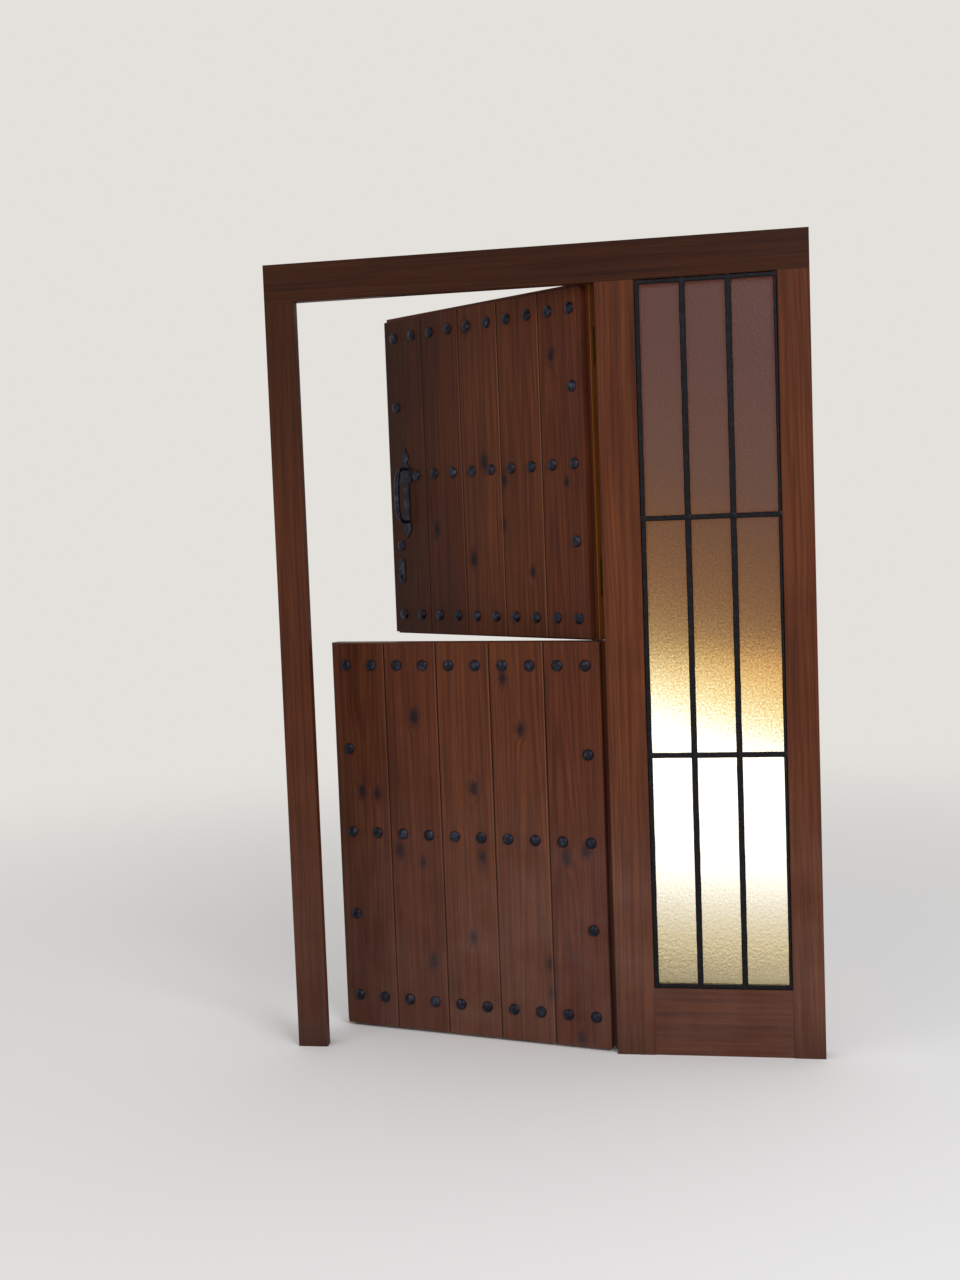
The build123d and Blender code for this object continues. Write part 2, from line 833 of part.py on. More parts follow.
def strike_bed():
    half_y = forend_width / 2
    return block(
        (strike_x - strike_thickness, strike_x),
        (lock_middle_y - half_y, lock_middle_y + half_y),
        (bolt_z - strike_height / 2, bolt_z + strike_height / 2),
    )


def strike_pocket():
    depth = bolt_throw + strike_pocket_clearance
    return bolt_slot(2 * bolt_fit + 1, (strike_x - depth, strike_x + 1))


def strike_plate():
    """The plate in the jamb's rebate that takes the dead bolt."""
    plate = strike_bed() - strike_pocket()
    return cut_holes(plate, strike_screws(), countersunk_hole(strike_thickness))


# Sliding bolts: built along +X from the plate's front end, on the plane y = 0 with +Y outwards
rod_height = bolt_plate_thickness + rod_radius + rod_fit + 1.0
first_staple = bolt_plate_margin
second_staple = first_staple + staple_width + rod_travel + knob_stem + 2 * rod_fit
bolt_plate_length = second_staple + staple_width + bolt_plate_margin


def staple(start, length):
    """An arch over the rod, forged with the plate under it."""
    outer = rod_radius + rod_fit + staple_wall
    arch = rod((start, rod_height, 0), (1, 0, 0), outer, length)
    legs = block((start, start + length), (0, rod_height), (-outer, outer))
    arch = (arch + legs) & block((start, start + length), (0, 100), (-50, 50))
    return arch - rod((start - 1, rod_height, 0), (1, 0, 0), rod_radius + rod_fit, length + 2)


def nail_places(along):
    """A pair of nails across the plate at each distance along it."""
    z = bolt_plate_width / 2 - nail_inset
    return [((x, bolt_plate_thickness, sign * z), (0, -1, 0)) for x in along for sign in (-1, 1)]


def bolt_plate():
    half = bolt_plate_width / 2
    plate = block((0, bolt_plate_length), (0, bolt_plate_thickness), (-half, half))
    plate = plate + staple(first_staple, staple_width) + staple(second_staple, staple_width)
    places = nail_places((nail_inset, bolt_plate_length - nail_inset))
    return cut_holes(plate, places, nail_hole(bolt_plate_thickness))


def bolt_rod():
    """The round rod with its square knob, drawn back until the stem meets the second staple."""
    length = bolt_plate_length + rod_overhang
    bar = rod((0, rod_height, 0), (1, 0, 0), rod_radius, length)
    knob_x = second_staple - knob_stem / 2 - rod_fit
    half = knob_stem / 2
    stem = block((knob_x - half, knob_x + half), (rod_height, rod_height + knob_reach), (-half, half))
    seat = Plane((knob_x, rod_height + knob_reach, 0), x_dir=(1, 0, 0), z_dir=(0, 1, 0))
    widths = (knob_stem, knob_width, knob_crown)
    squares = [Pos(0, 0, i * knob_height / 2) * Rectangle(w, w) for i, w in enumerate(widths)]
    return bar + stem + seat * loft(squares, ruled=True)


def keeper():
    """The socket that the rod slides into."""
    half = bolt_plate_width / 2
    plate = block((0, keeper_length), (0, bolt_plate_thickness), (-half, half))
    plate = plate + staple(0, keeper_length)
    return cut_holes(plate, nail_places((keeper_length / 2,)), nail_hole(bolt_plate_thickness))


# Where the two bolts stand: the plane's X runs back from the rod's tip, its Z along the door
lower_bolt_place = Plane(
    (stile_lock_edge + 3, leaf_back, lower_bolt_height), x_dir=(1, 0, 0), z_dir=(0, 0, 1)
)
lower_keeper_place = Plane(
    (stile_lock_edge - keeper_gap - keeper_length, back, lower_bolt_height),
    x_dir=(1, 0, 0),
    z_dir=(0, 0, 1),
)
joining_x = stile_lock_edge + joining_bolt_edge_distance
joining_bolt_place = Plane(
    (joining_x, leaf_back, upper_stile_bottom + joining_bolt_rise),
    x_dir=(0, 0, 1),
    z_dir=(-1, 0, 0),
)
joining_keeper_place = Plane(
    (joining_x, leaf_back, lower_leaf_top - 2 - keeper_length), x_dir=(0, 0, 1), z_dir=(-1, 0, 0)
)


# Assembly
frame_nodes = {}
lower_nodes = {}
upper_nodes = {}

hinge_z = {
    "lower": hinge_heights((floor_gap, lower_leaf_top)),
    "upper": hinge_heights((upper_stile_bottom, upper_stile_top)),
}
all_hinge_z = hinge_z["lower"] + hinge_z["upper"]

left = left_jamb()
right = right_jamb()
middle_post = mullion()
for hole in jamb_fixing_holes():
    if hole.center().X < 0:
        left = left - hole
    else:
        right = right - hole

for z in all_hinge_z:
    middle_post = middle_post - hinge_recess(z, 1)
for height in grille_cross_heights:
    sockets = grille_cross_bar(height, grille_let_in + tenon_end_gap, grille_fit)
    middle_post = middle_post - sockets
    right = right - sockets

frame_nodes["left_jamb"] = left - strike_bed() - strike_pocket()
frame_nodes["mullion"] = middle_post
frame_nodes["right_jamb"] = right
frame_nodes["head_rail"] = head_rail()
frame_nodes["sidelight_sill_rail"] = sill_rail()
frame_nodes["sidelight_glass"] = glass_pane()
frame_nodes["glazing_beads"] = glazing_beads()
frame_nodes["sidelight_grille"] = grille()
frame_nodes["strike_plate"] = strike_plate()
frame_nodes["jamb_keeper"] = lower_keeper_place * keeper()
for number, z in enumerate(all_hinge_z, start=1):
    frame_nodes[f"frame_hinge_plate_{number}"] = hinge_plate(z, 1)
frame_nodes["hinge_pins"] = group(hinge_pin(z) for z in all_hinge_z)


def leaf(prefix, nodes, plank_z, stile_z, rails, places):
    """The wood, the hinge plates and the studs of one leaf."""
    for number in range(1, plank_count + 1):
        nodes[f"{prefix}_plank_{number}"] = cut_shanks(plank(number, plank_z), places)
    hinge_stile = stile("hinge", stile_z, rails)
    for number, z in enumerate(hinge_z[prefix], start=1):
        hinge_stile = hinge_stile - hinge_recess(z, -1)
        nodes[f"{prefix}_hinge_plate_{number}"] = hinge_plate(z, -1)
    nodes[f"{prefix}_hinge_stile"] = cut_shanks(hinge_stile, places)
    nodes[f"{prefix}_lock_stile"] = cut_shanks(stile("lock", stile_z, rails), places)
    for name, span in rails.items():
        nodes[f"{prefix}_{name}"] = cut_shanks(rail(name, span), places)
    head = stud_head()
    nodes[f"{prefix}_studs"] = group(stud(head, x, z) for x, z in places)


# The stud in the middle row beside the free edge gives way to the pull handle
pull_stud = 2 * (2 * plank_count) - 1
lower_studs = stud_places(lower_rails)
upper_studs = stud_places(upper_rails, skipped=(pull_stud,), key_stud=key_stud_height)
leaf(
    "lower",
    lower_nodes,
    (floor_gap, lower_leaf_top),
    (floor_gap, lower_leaf_top),
    lower_rails,
    lower_studs,
)
leaf(
    "upper",
    upper_nodes,
    (upper_plank_bottom, upper_plank_top),
    (upper_stile_bottom, upper_stile_top),
    upper_rails,
    upper_studs,
)

lower_nodes["lower_bolt_plate"] = lower_bolt_place * bolt_plate()
lower_nodes["lower_bolt_rod"] = lower_bolt_place * bolt_rod()
lower_nodes["joining_keeper"] = joining_keeper_place * keeper()

upper_nodes["pull_plate"] = pull_plate()
upper_nodes["pull_grip"] = pull_grip()
upper_nodes["outer_key_plate"] = key_plate(leaf_front, -1)
upper_nodes["inner_key_plate"] = key_plate(leaf_back, 1)
upper_nodes["lock_case"] = lock_case()
upper_nodes["lock_forend"] = lock_forend()
upper_nodes["dead_bolt"] = dead_bolt()
upper_nodes["joining_bolt_plate"] = joining_bolt_place * bolt_plate()
upper_nodes["joining_bolt_rod"] = joining_bolt_place * bolt_rod()
through_key = keyhole(leaf_front - 1, leaf_back - leaf_front + 2)
upper_nodes["upper_lock_stile"] = upper_nodes["upper_lock_stile"] - lock_mortise() - through_key
upper_nodes[f"upper_plank_{plank_count}"] = upper_nodes[f"upper_plank_{plank_count}"] - through_key

os.makedirs("parts", exist_ok=True)
for name, shape in frame_nodes.items():
    export_step(shape, f"parts/{name}.step")
for nodes, angle in ((lower_nodes, lower_rest_angle), (upper_nodes, upper_rest_angle)):
    for name, shape in nodes.items():
        export_step(shape.rotate(hinge_axis, angle), f"parts/{name}.step")
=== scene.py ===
# %% [markdown]
# # A dutch stable door in stained pine
# The door has two leaves that swing by themselves, boarded outside and studded with forged nails,
# in a timber frame with a tall glazed light behind an iron grille. The measured solids come in as a
# fixed frame. This file gives them their finishes and makes the things that a smith shaped by hand:
# studs, nails, screws, the pull and the grille.

# %% Load the measured solids
import bmesh
import bpy
import json
import math
import random
from mathutils import Matrix, Vector, noise


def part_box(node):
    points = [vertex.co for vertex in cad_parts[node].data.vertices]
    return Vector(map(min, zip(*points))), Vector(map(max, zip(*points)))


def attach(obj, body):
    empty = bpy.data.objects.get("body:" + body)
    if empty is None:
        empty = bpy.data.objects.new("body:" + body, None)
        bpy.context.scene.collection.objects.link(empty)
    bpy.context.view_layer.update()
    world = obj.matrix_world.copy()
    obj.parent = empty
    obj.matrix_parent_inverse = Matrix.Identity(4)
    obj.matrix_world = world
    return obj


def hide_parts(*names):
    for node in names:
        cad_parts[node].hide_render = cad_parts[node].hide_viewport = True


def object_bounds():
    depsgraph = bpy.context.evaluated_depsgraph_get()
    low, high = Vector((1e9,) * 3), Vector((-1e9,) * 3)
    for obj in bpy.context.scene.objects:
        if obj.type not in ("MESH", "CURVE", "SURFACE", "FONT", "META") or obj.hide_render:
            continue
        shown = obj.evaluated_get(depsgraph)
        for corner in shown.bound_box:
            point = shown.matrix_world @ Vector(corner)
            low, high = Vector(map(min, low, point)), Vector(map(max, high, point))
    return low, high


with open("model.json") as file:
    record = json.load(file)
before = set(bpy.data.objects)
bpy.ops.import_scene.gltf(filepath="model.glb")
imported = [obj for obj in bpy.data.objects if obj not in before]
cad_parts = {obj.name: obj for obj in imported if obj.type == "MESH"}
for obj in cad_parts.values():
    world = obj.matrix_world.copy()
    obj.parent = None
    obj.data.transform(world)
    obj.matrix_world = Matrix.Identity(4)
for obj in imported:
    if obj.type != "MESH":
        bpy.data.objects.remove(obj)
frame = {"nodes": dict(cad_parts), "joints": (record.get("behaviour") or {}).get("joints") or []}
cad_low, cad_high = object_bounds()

nodes = frame["nodes"]
mm = 0.001
print(len(nodes), "solids, overall", [round(c, 3) for c in cad_high - cad_low])

# %% [markdown]
# ## Where the leaves hang
# Both leaves turn on one line beside the mullion and stand ajar. Wood grain has to follow each
# leaf, so every pattern is laid out on the closed door and turned with the leaf. The angle at rest
# is how far each hinge joint can still close.

# %% The hinge line and the angles at rest
joints = {joint["name"]: joint for joint in frame["joints"]}
hinge = Vector(joints["lower_leaf_hinge"]["pos_m"])


def low_limit(joint):
    """A hinge joint's lower limit in radians."""
    if "range_deg" in joint:
        return math.radians(joint["range_deg"][0])
    return joint["range"][0]


ajar = {
    "lower": -low_limit(joints["lower_leaf_hinge"]),
    "upper": -low_limit(joints["upper_leaf_hinge"]),
}


def turned(leaf):
    """The move from the closed door to where a leaf stands."""
    swing = Matrix.Rotation(-ajar[leaf], 4, "Z")
    return Matrix.Translation(hinge) @ swing @ Matrix.Translation(-hinge)


print("ajar by", {leaf: round(math.degrees(angle), 1) for leaf, angle in ajar.items()})

# %% [markdown]
# ## Colours and nodes
# Colours are picked as sRGB hex values, the way a paint card gives them, and a shader works in
# linear light, so one function turns them. A second one adds a shader node with its settings and
# its links, which keeps the long wood recipe readable. Two more start a material and give it to
# the solids.


# %% Turn a colour and add a node
def linear(colour):
    """An sRGB hex colour as linear red, green, blue and alpha."""
    channels = [int(colour[i : i + 2], 16) / 255 for i in (1, 3, 5)]
    return [c / 12.92 if c <= 0.04045 else ((c + 0.055) / 1.055) ** 2.4 for c in channels] + [1.0]


def add(tree, kind, *values, named=None, **settings):
    """Adds a shader node. Values fill its sockets in order, named ones by name, and None skips."""
    made = tree.nodes.new("ShaderNode" + kind)
    for key, value in settings.items():
        setattr(made, key, value)
    for key, value in list(enumerate(values)) + list((named or {}).items()):
        if isinstance(value, bpy.types.Node):
            value = value.outputs[0]
        if isinstance(value, bpy.types.NodeSocket):
            tree.links.new(value, made.inputs[key])
        elif value is not None:
            made.inputs[key].default_value = value
    return made


print("a mid grey, #808080, is", round(linear("#808080")[0], 3), "in linear light")


# %% Start a material and give it to solids
def start_material(name, **sockets):
    """A material with one Principled shader, and its sockets that stay constant."""
    material = bpy.data.materials.new(name)
    material.use_nodes = True
    tree = material.node_tree
    shader = tree.nodes["Principled BSDF"]
    for key, value in sockets.items():
        shader.inputs[key.replace("_", " ")].default_value = value
    return material, tree, shader


def dress(names, material):
    """Gives a material to CAD nodes."""
    for name in names:
        solid = nodes[name].data
        solid.materials.clear()
        solid.materials.append(material)


print(len(nodes), "solids wait for a finish")

# %% [markdown]
# ## Stained pine
# Scots pine is sawn from a trunk whose yearly rings show as pale early wood and darker late wood.
# A plank cuts the rings as long stripes and arches, so the pattern here is worked out as in a real
# trunk: the distance from a pith line behind each board, divided by the width of a ring. A stain
# brushed over it leaves only a faint grain, so the rings are kept soft. An image would do it too,
# but it would repeat from board to board, and this pattern never does.

# %% How the wood was cut and stained
ring_width = 5.5 * mm
ring_bend = 55 * mm
ring_start, ring_full = 0.25, 0.82
pith_spread = 90 * mm
pith_lean = 0.07
fibre_width = 1.6 * mm
streak_width = 11 * mm
cloud_width = 200 * mm
stain = {
    "early": "#562b19",
    "warm": "#66361f",
    "streak": "#3e1d13",
    "late": "#34170e",
    "halo": "#2b161c",
    "knot": "#181019",
    # The pale tone below is a painted highlight on the V-joints, the orange one a painted warm
    # light on the hinge edges, and the darkest serves both for grime and for painted shade beside
    # the joints.
    "wear_and_highlight": "#7c4c33",
    "lit": "#9c5a26",
    "dirt_and_shade": "#21140f",
    "dust": "#75615c",
}
soft = {"interpolation_type": "SMOOTHSTEP"}
print(len(stain), "tones of one red-brown stain over rings", ring_width / mm, "mm wide")

# %% [markdown]
# ## A point in the board
# The recipe needs to know where a point lies in its own board. The leaf is turned shut, the grain
# is made to run along Z, and the board gets a number from where it lies across the door. That
# number seeds a few random values, so that every board comes from another part of the tree.


# %% Find the board of a point
def grain_place(tree, along, leaf):
    """A point's place with the grain as Z, the board's width as X and its depth as Y."""
    place = add(tree, "TexCoord").outputs["Object"]
    if leaf:
        turn = {"Center": hinge, "Angle": ajar[leaf]}
        place = add(tree, "VectorRotate", place, named=turn, rotation_type="Z_AXIS")
    if along == "x":
        x, y, z = add(tree, "SeparateXYZ", place).outputs
        place = add(tree, "CombineXYZ", z, y, x)
    return place


def board_of(tree, across, boards):
    """Each board's own number, and how far across it a point lies, from 0 to 1.

    The outer half of the first and the last board count as their middles: no joint is there.
    """
    start, width, many = boards
    count = add(tree, "Math", across, start, operation="SUBTRACT")
    count = add(tree, "Math", count, width, operation="DIVIDE")
    count = add(tree, "Clamp", count, 0.5, many - 0.5)
    number = add(tree, "Math", count, operation="FLOOR")
    return number, add(tree, "Math", count, operation="FRACT")


print("grain turns with the leaves:", {leaf: round(angle, 3) for leaf, angle in ajar.items()})

# %% [markdown]
# ## Knots
# A knot is the root of a branch: dark, nearly round and a little longer along the grain, with a
# stained halo. Knots are placed where the door has them, in millimetres, and the nearest one is
# found by comparing the distances. Noise spoils the circle first, as in real wood: it has 70 bumps
# to a metre, so one is 100 / 7 mm wide.

# %% How far the nearest knot is
wobble_width = 100 / 7 * mm
wobble_shift = 14 * mm
knot_stretch = 0.6
knot_blend = 0.4


def knot_distance(tree, place, knots):
    """The distance to the nearest knot, in knot radii. A knot is (across, along, radius) in mm."""
    wobble = add(tree, "TexNoise", place, named={"Scale": 1 / wobble_width, "Detail": 2.0})
    shift = add(tree, "VectorMath", wobble.outputs["Color"], (0.5, 0.5, 0.5), operation="SUBTRACT")
    shift = add(tree, "VectorMath", shift, named={"Scale": wobble_shift}, operation="SCALE")
    place = add(tree, "VectorMath", place, shift, operation="ADD")
    nearest = None
    for across, along, radius in knots:
        centre = (across * mm, 0.0, along * mm)
        away = add(tree, "VectorMath", place, centre, operation="SUBTRACT")
        size = (1 / (radius * mm), 0.0, knot_stretch / (radius * mm))
        away = add(tree, "VectorMath", away, size, operation="MULTIPLY")
        far = add(tree, "VectorMath", away, operation="LENGTH").outputs["Value"]
        if nearest is None:
            nearest = far
        else:
            nearest = add(tree, "Math", nearest, far, knot_blend, operation="SMOOTH_MIN")
    return nearest


print("a knot's edge wobbles by up to", wobble_shift / 2 / mm, "mm")

# %% [markdown]
# ## Rings
# The pith line stands somewhere behind the board and leans a little, so the rings run as stripes
# at the board's edges and as long arches in its middle. Noise bends them gently, and a knot pushes
# them aside over about two of its radii.

# %% Late wood and early wood
bend_stretch = (9.0, 1.0, 1.1)
knot_push = 7 * mm
push_reach = 2.0


def ring_pattern(tree, place, moved, luck, middle, depth, knot):
    """Late wood as 1 and early wood as 0."""
    across, back, up = add(tree, "SeparateXYZ", place).outputs
    aside = add(tree, "Math", luck[0], 0.5, operation="SUBTRACT")
    aside = add(tree, "Math", aside, pith_spread, middle, operation="MULTIPLY_ADD")
    lean = add(tree, "Math", luck[1], 0.5, operation="SUBTRACT")
    lean = add(tree, "Math", lean, pith_lean, operation="MULTIPLY")
    deep = add(tree, "Math", up, lean, depth, operation="MULTIPLY_ADD")
    stretched = add(tree, "VectorMath", moved, bend_stretch, operation="MULTIPLY")
    bend = add(tree, "TexNoise", stretched, named={"Scale": 1.0, "Detail": 3.0, "Roughness": 0.45})
    bend = add(tree, "Math", bend, 0.5, operation="SUBTRACT")
    from_pith = add(tree, "Math", across, aside, operation="SUBTRACT")
    from_pith = add(tree, "Math", bend, ring_bend, from_pith, operation="MULTIPLY_ADD")
    behind = add(tree, "Math", back, deep, operation="SUBTRACT")
    flat = add(tree, "CombineXYZ", from_pith, behind, 0.0)
    radius = add(tree, "VectorMath", flat, operation="LENGTH").outputs["Value"]
    if knot:
        push = add(tree, "Math", knot, 1 / push_reach, operation="MULTIPLY")
        push = add(tree, "Math", push, 2.0, operation="POWER")
        push = add(tree, "Math", push, -1.0, operation="MULTIPLY")
        push = add(tree, "Math", push, operation="EXPONENT")
        radius = add(tree, "Math", push, knot_push, radius, operation="MULTIPLY_ADD")
    turns = add(tree, "Math", radius, ring_width, operation="DIVIDE")
    late = add(tree, "ValToRGB", add(tree, "Math", turns, operation="FRACT"))
    ramp = late.color_ramp
    ramp.interpolation = "EASE"
    ramp.elements[0].position = ring_start
    ramp.elements[1].position = ring_full
    ramp.elements.new(1.0).color = (0.0, 0.0, 0.0, 1.0)
    return late


print("a knot pushes the rings aside by up to", knot_push / mm, "mm")

# %% [markdown]
# ## Layers of stain
# The stain is laid on in layers, each over what the ones before left: warm and dark streaks where
# the brush went unevenly, late wood, pores, and the halo and the core of each knot. A layer fades
# in over a range of its pattern, so one table holds that range and how much it covers at both ends.

# %% What the brush and the tree left
cover = {
    "late": (0.35, 0.65, 0.12, 0.5),
    "warm": (0.45, 0.72, 0.0, 0.9),
    "streak": (0.5, 0.28, 0.0, 0.7),
    "pores": (0.56, 0.76, 0.0, 0.45),
    "halo": (0.9, 2.6, 0.55, 0.0),
    "core": (0.45, 1.5, 0.8, 0.0),
}


def stain_layers(tree, streak, fibre, late, knot):
    """The layers from the brush and the tree, and the knots' cores."""
    layers = [
        (add(tree, "MapRange", streak, *cover["warm"]), "warm"),
        (add(tree, "MapRange", streak, *cover["streak"]), "streak"),
        (late, "late"),
        (add(tree, "MapRange", fibre, *cover["pores"]), "late"),
    ]
    if knot is None:
        return layers, None
    core = add(tree, "MapRange", knot, *cover["core"], **soft)
    layers.append((add(tree, "MapRange", knot, *cover["halo"], **soft), "halo"))
    layers.append((core, "knot"))
    return layers, core


print(len(cover), "ranges of cover")

# %% [markdown]
# ## Layers of wear and painted light
# Then come a painted highlight along one side of each V-joint and a painted shade along the other,
# a darker line in each groove's floor, a painted warm light on the edge at the hinge, dust low
# down, and the grime that gathers at a post's foot. Dust and grime are broken up by a cloudy noise,
# because a cloth never wipes evenly.

# %% What use left
# Painted highlight on one side of each V-joint, painted shade on the other, and a darker groove
# floor.
joint_highlight = (0.0, 1.0, 0.25, 0.75)
joint_shade = 1.1
highlight_reach, joint_shade_reach = 1.4, 1.3
groove_floor = (0.3, 0.5)
groove_darkening = 0.9
lit_cover = 0.85
dust_cover = (0.15, 1.0, 0.34, 0.0)
foot_grime = 0.75


def joint_layers(tree, share, luck, width, vee):
    """The painted highlight and the painted shade beside each V-joint, and a darker floor in its
    groove.
    """
    wear_and_highlight = add(tree, "MapRange", luck, *joint_highlight)
    joint_shading = add(tree, "Math", wear_and_highlight, joint_shade, operation="MULTIPLY")
    from_left = add(tree, "Math", share, width, operation="MULTIPLY")
    from_right = add(tree, "Math", width, from_left, operation="SUBTRACT")
    floor, lip = (part * vee for part in groove_floor)
    return [
        (add(tree, "MapRange", from_right, vee, highlight_reach * vee, wear_and_highlight, 0.0), "wear_and_highlight"),
        (add(tree, "MapRange", from_left, vee, joint_shade_reach * vee, joint_shading, 0.0), "dirt_and_shade"),
        (add(tree, "MapRange", from_right, floor, lip, groove_darkening, 0.0), "dirt_and_shade"),
    ]


def light_and_dirt_layers(tree, across, up, cloud, along, lit_from, dirty_below):
    """The painted warm light on the edge at the hinge, dust low down and grime at a post's foot."""
    layers = []
    # Painted warm light on the stile's edge at the hinge.
    if lit_from is not None:
        lit = add(tree, "MapRange", across, lit_from, lit_from + mm, 0.0, lit_cover)
        layers.append((lit, "lit"))
    floor_up = across if along == "x" else up
    dust = add(tree, "MapRange", floor_up, *dust_cover, **soft)
    layers.append((add(tree, "Math", dust, cloud, operation="MULTIPLY"), "dust"))
    if dirty_below:
        grime = add(tree, "MapRange", up, 0.0, dirty_below, foot_grime, 0.0, **soft)
        layers.append((add(tree, "Math", grime, cloud, operation="MULTIPLY"), "dirt_and_shade"))
    return layers


print("dust up to", dust_cover[1], "m")

# %% [markdown]
# ## How dark the stain is, with painted shade
# No two boards take a stain alike, so each gets a slightly different value and hue. Painted shade
# makes it darker high up and towards the free edge.

# %% Light and dark boards
board_values = (0.9, 1.1)
board_hues = (0.499, 0.504)
cloud_values = (0.3, 0.7, 0.84, 1.14)
top_shade_heights = (1.3, 2.1)
edge_shade_reach = 0.5


def value_and_shade(tree, across, up, cloud, luck, tone, shade_high_up, edge_shade, free_edge):
    """The factor that the stain's value is multiplied by, painted shade included."""
    low, high = board_values
    value = add(tree, "MapRange", luck, 0.0, 1.0, low * tone, high * tone)
    patch = add(tree, "MapRange", cloud, *cloud_values)
    value = add(tree, "Math", value, patch, operation="MULTIPLY")
    # Painted shade darkens the stain towards the top.
    if shade_high_up < 1.0:
        top_shade = add(tree, "MapRange", up, *top_shade_heights, 1.0, shade_high_up, **soft)
        value = add(tree, "Math", value, top_shade, operation="MULTIPLY")
    # Painted shade darkens the stain towards the leaf's free edge.
    if edge_shade < 1.0:
        edge_shading = add(tree, "MapRange", across, free_edge, edge_shade_reach * free_edge, edge_shade, 1.0)
        value = add(tree, "Math", value, edge_shading, operation="MULTIPLY")
    return value


print("boards differ by", round(100 * (board_values[1] - board_values[0])), "% at most")

# %% [markdown]
# ## The whole recipe
# The layers are mixed in their order over the early wood's tone. A satin varnish gives a thin clear
# coat, and the late wood stands a little proud of the early wood, with the knots proud of both.

# %% Stained pine as a material
streaks_per_metre = 2.2
fibres_per_metre = 26.0
board_offset = 3.7
satin = (0.3, 0.7, 0.42, 0.54)
late_rise, fibre_rise, knot_rise = 0.7, 0.5, 0.8
grain_depth = 0.5 * mm


def pine(
    name,
    boards,
    along="z",
    leaf=None,
    knots=(),
    depth=0.055,
    tone=1.0,
    vee=0.0,
    lit_from=None,
    dirty_below=0.0,
    shade_high_up=1.0,
    edge_shade=1.0,
):
    """Stained pine. The boards are (where the first starts, their width, how many) in metres."""
    material, tree, shader = start_material(
        name, IOR=1.5, Specular_IOR_Level=0.08, Coat_Weight=0.05, Coat_Roughness=0.3, Coat_IOR=1.5
    )
    place = grain_place(tree, along, leaf)
    across, back, up = add(tree, "SeparateXYZ", place).outputs
    number, share = board_of(tree, across, boards)
    luck = add(tree, "TexWhiteNoise", named={"W": number}, noise_dimensions="1D")
    luck = add(tree, "SeparateXYZ", luck.outputs["Color"]).outputs
    middle = add(tree, "Math", number, 0.5, operation="ADD")
    middle = add(tree, "Math", middle, boards[1], boards[0], operation="MULTIPLY_ADD")
    offset = add(tree, "Math", number, board_offset, operation="MULTIPLY")
    moved = add(tree, "CombineXYZ", across, offset, up)
    knot = knot_distance(tree, place, knots) if knots else None
    late = ring_pattern(tree, place, moved, luck, middle, depth, knot)

    size = (1 / streak_width, 1.0, streaks_per_metre)
    streaks = add(tree, "VectorMath", moved, size, operation="MULTIPLY")
    streak = add(tree, "TexNoise", streaks, named={"Scale": 1.0, "Detail": 3.0, "Roughness": 0.6})
    size = (1 / fibre_width, 1.0, fibres_per_metre)
    fibres = add(tree, "VectorMath", moved, size, operation="MULTIPLY")
    fibre = add(tree, "TexNoise", fibres, named={"Scale": 1.0, "Detail": 2.0, "Roughness": 0.7})
    grain = {"Scale": 1 / cloud_width, "Detail": 4.0, "Roughness": 0.6}
    cloud = add(tree, "TexNoise", moved, named=grain)
    faint = add(tree, "MapRange", cloud, *cover["late"])
    late = add(tree, "Math", late, faint, operation="MULTIPLY")

    layers, core = stain_layers(tree, streak, fibre, late, knot)
    if vee:
        layers += joint_layers(tree, share, luck[1], boards[1], vee)
    layers += light_and_dirt_layers(tree, across, up, cloud, along, lit_from, dirty_below)
    colour = linear(stain["early"])
    for factor, layer in layers:
        tones = {6: colour, 7: linear(stain[layer])}
        colour = add(tree, "Mix", factor, data_type="RGBA", named=tones).outputs[2]
    value = value_and_shade(tree, across, up, cloud, luck[2], tone, shade_high_up, edge_shade, boards[0])
    hue = add(tree, "MapRange", luck[0], 0.0, 1.0, *board_hues)
    colour = add(tree, "HueSaturation", hue, 1.0, value, named={"Color": colour})
    tree.links.new(colour.outputs[0], shader.inputs["Base Color"])

    rough = add(tree, "MapRange", streak, *satin)
    tree.links.new(rough.outputs[0], shader.inputs["Roughness"])
    height = add(tree, "Math", late, late_rise, operation="MULTIPLY")
    height = add(tree, "Math", fibre, fibre_rise, height, operation="MULTIPLY_ADD")
    if core is not None:
        height = add(tree, "Math", core, knot_rise, height, operation="MULTIPLY_ADD")
    bump = add(tree, "Bump", named={"Strength": 0.4, "Distance": grain_depth, "Height": height})
    tree.links.new(bump.outputs[0], shader.inputs["Normal"])
    return material


print("streaks", streak_width / mm, "mm wide and fibres", fibre_width / mm, "mm wide")

# %% [markdown]
# ## The frame's timber
# The posts stand with their grain upright and the head and the sill lie along the door, so they
# need two ways of the grain. One numbered strip per post gives each its own board. Painted shade
# makes the stain darkest high up and on the head, and the posts' feet are dirty where the floor is
# washed.

# %% Dress the frame
post_strips = (-1.0, 0.4, 4)
level_strip = (-0.1, 1.0, 3)
upright = {"depth": 75 * mm, "dirty_below": 160 * mm}
level = {"depth": 80 * mm, "along": "x"}
# Painted shade: the posts darken towards the top, the left jamb is a darker shaded copy with a
# lower tone, and the head's low tone is painted shade.
post_pine = pine("pine_stained_posts", post_strips, tone=1.08, shade_high_up=0.8, **upright)
shaded_jamb_pine = pine("pine_stained_jamb_shaded", post_strips, tone=0.86, shade_high_up=0.55, **upright)
sill_pine = pine("pine_stained_sill", level_strip, **level)
shaded_head_pine = pine("pine_stained_head_shaded", level_strip, tone=0.36, **level)
dress(["mullion", "right_jamb", "glazing_beads"], post_pine)
dress(["left_jamb"], shaded_jamb_pine)
dress(["sidelight_sill_rail"], sill_pine)
dress(["head_rail"], shaded_head_pine)
print("posts from one strip each, the head and the sill from level wood")

# %% [markdown]
# ## The boards of the leaves
# Five tongued and grooved boards make each leaf. Their width is measured from the solids, turned
# back to the closed door, so that every board gets its own piece of trunk. The knots are those
# that show on the street side, given from the mullion's middle and the floor.

# %% Measure the boards
plank_count = 5


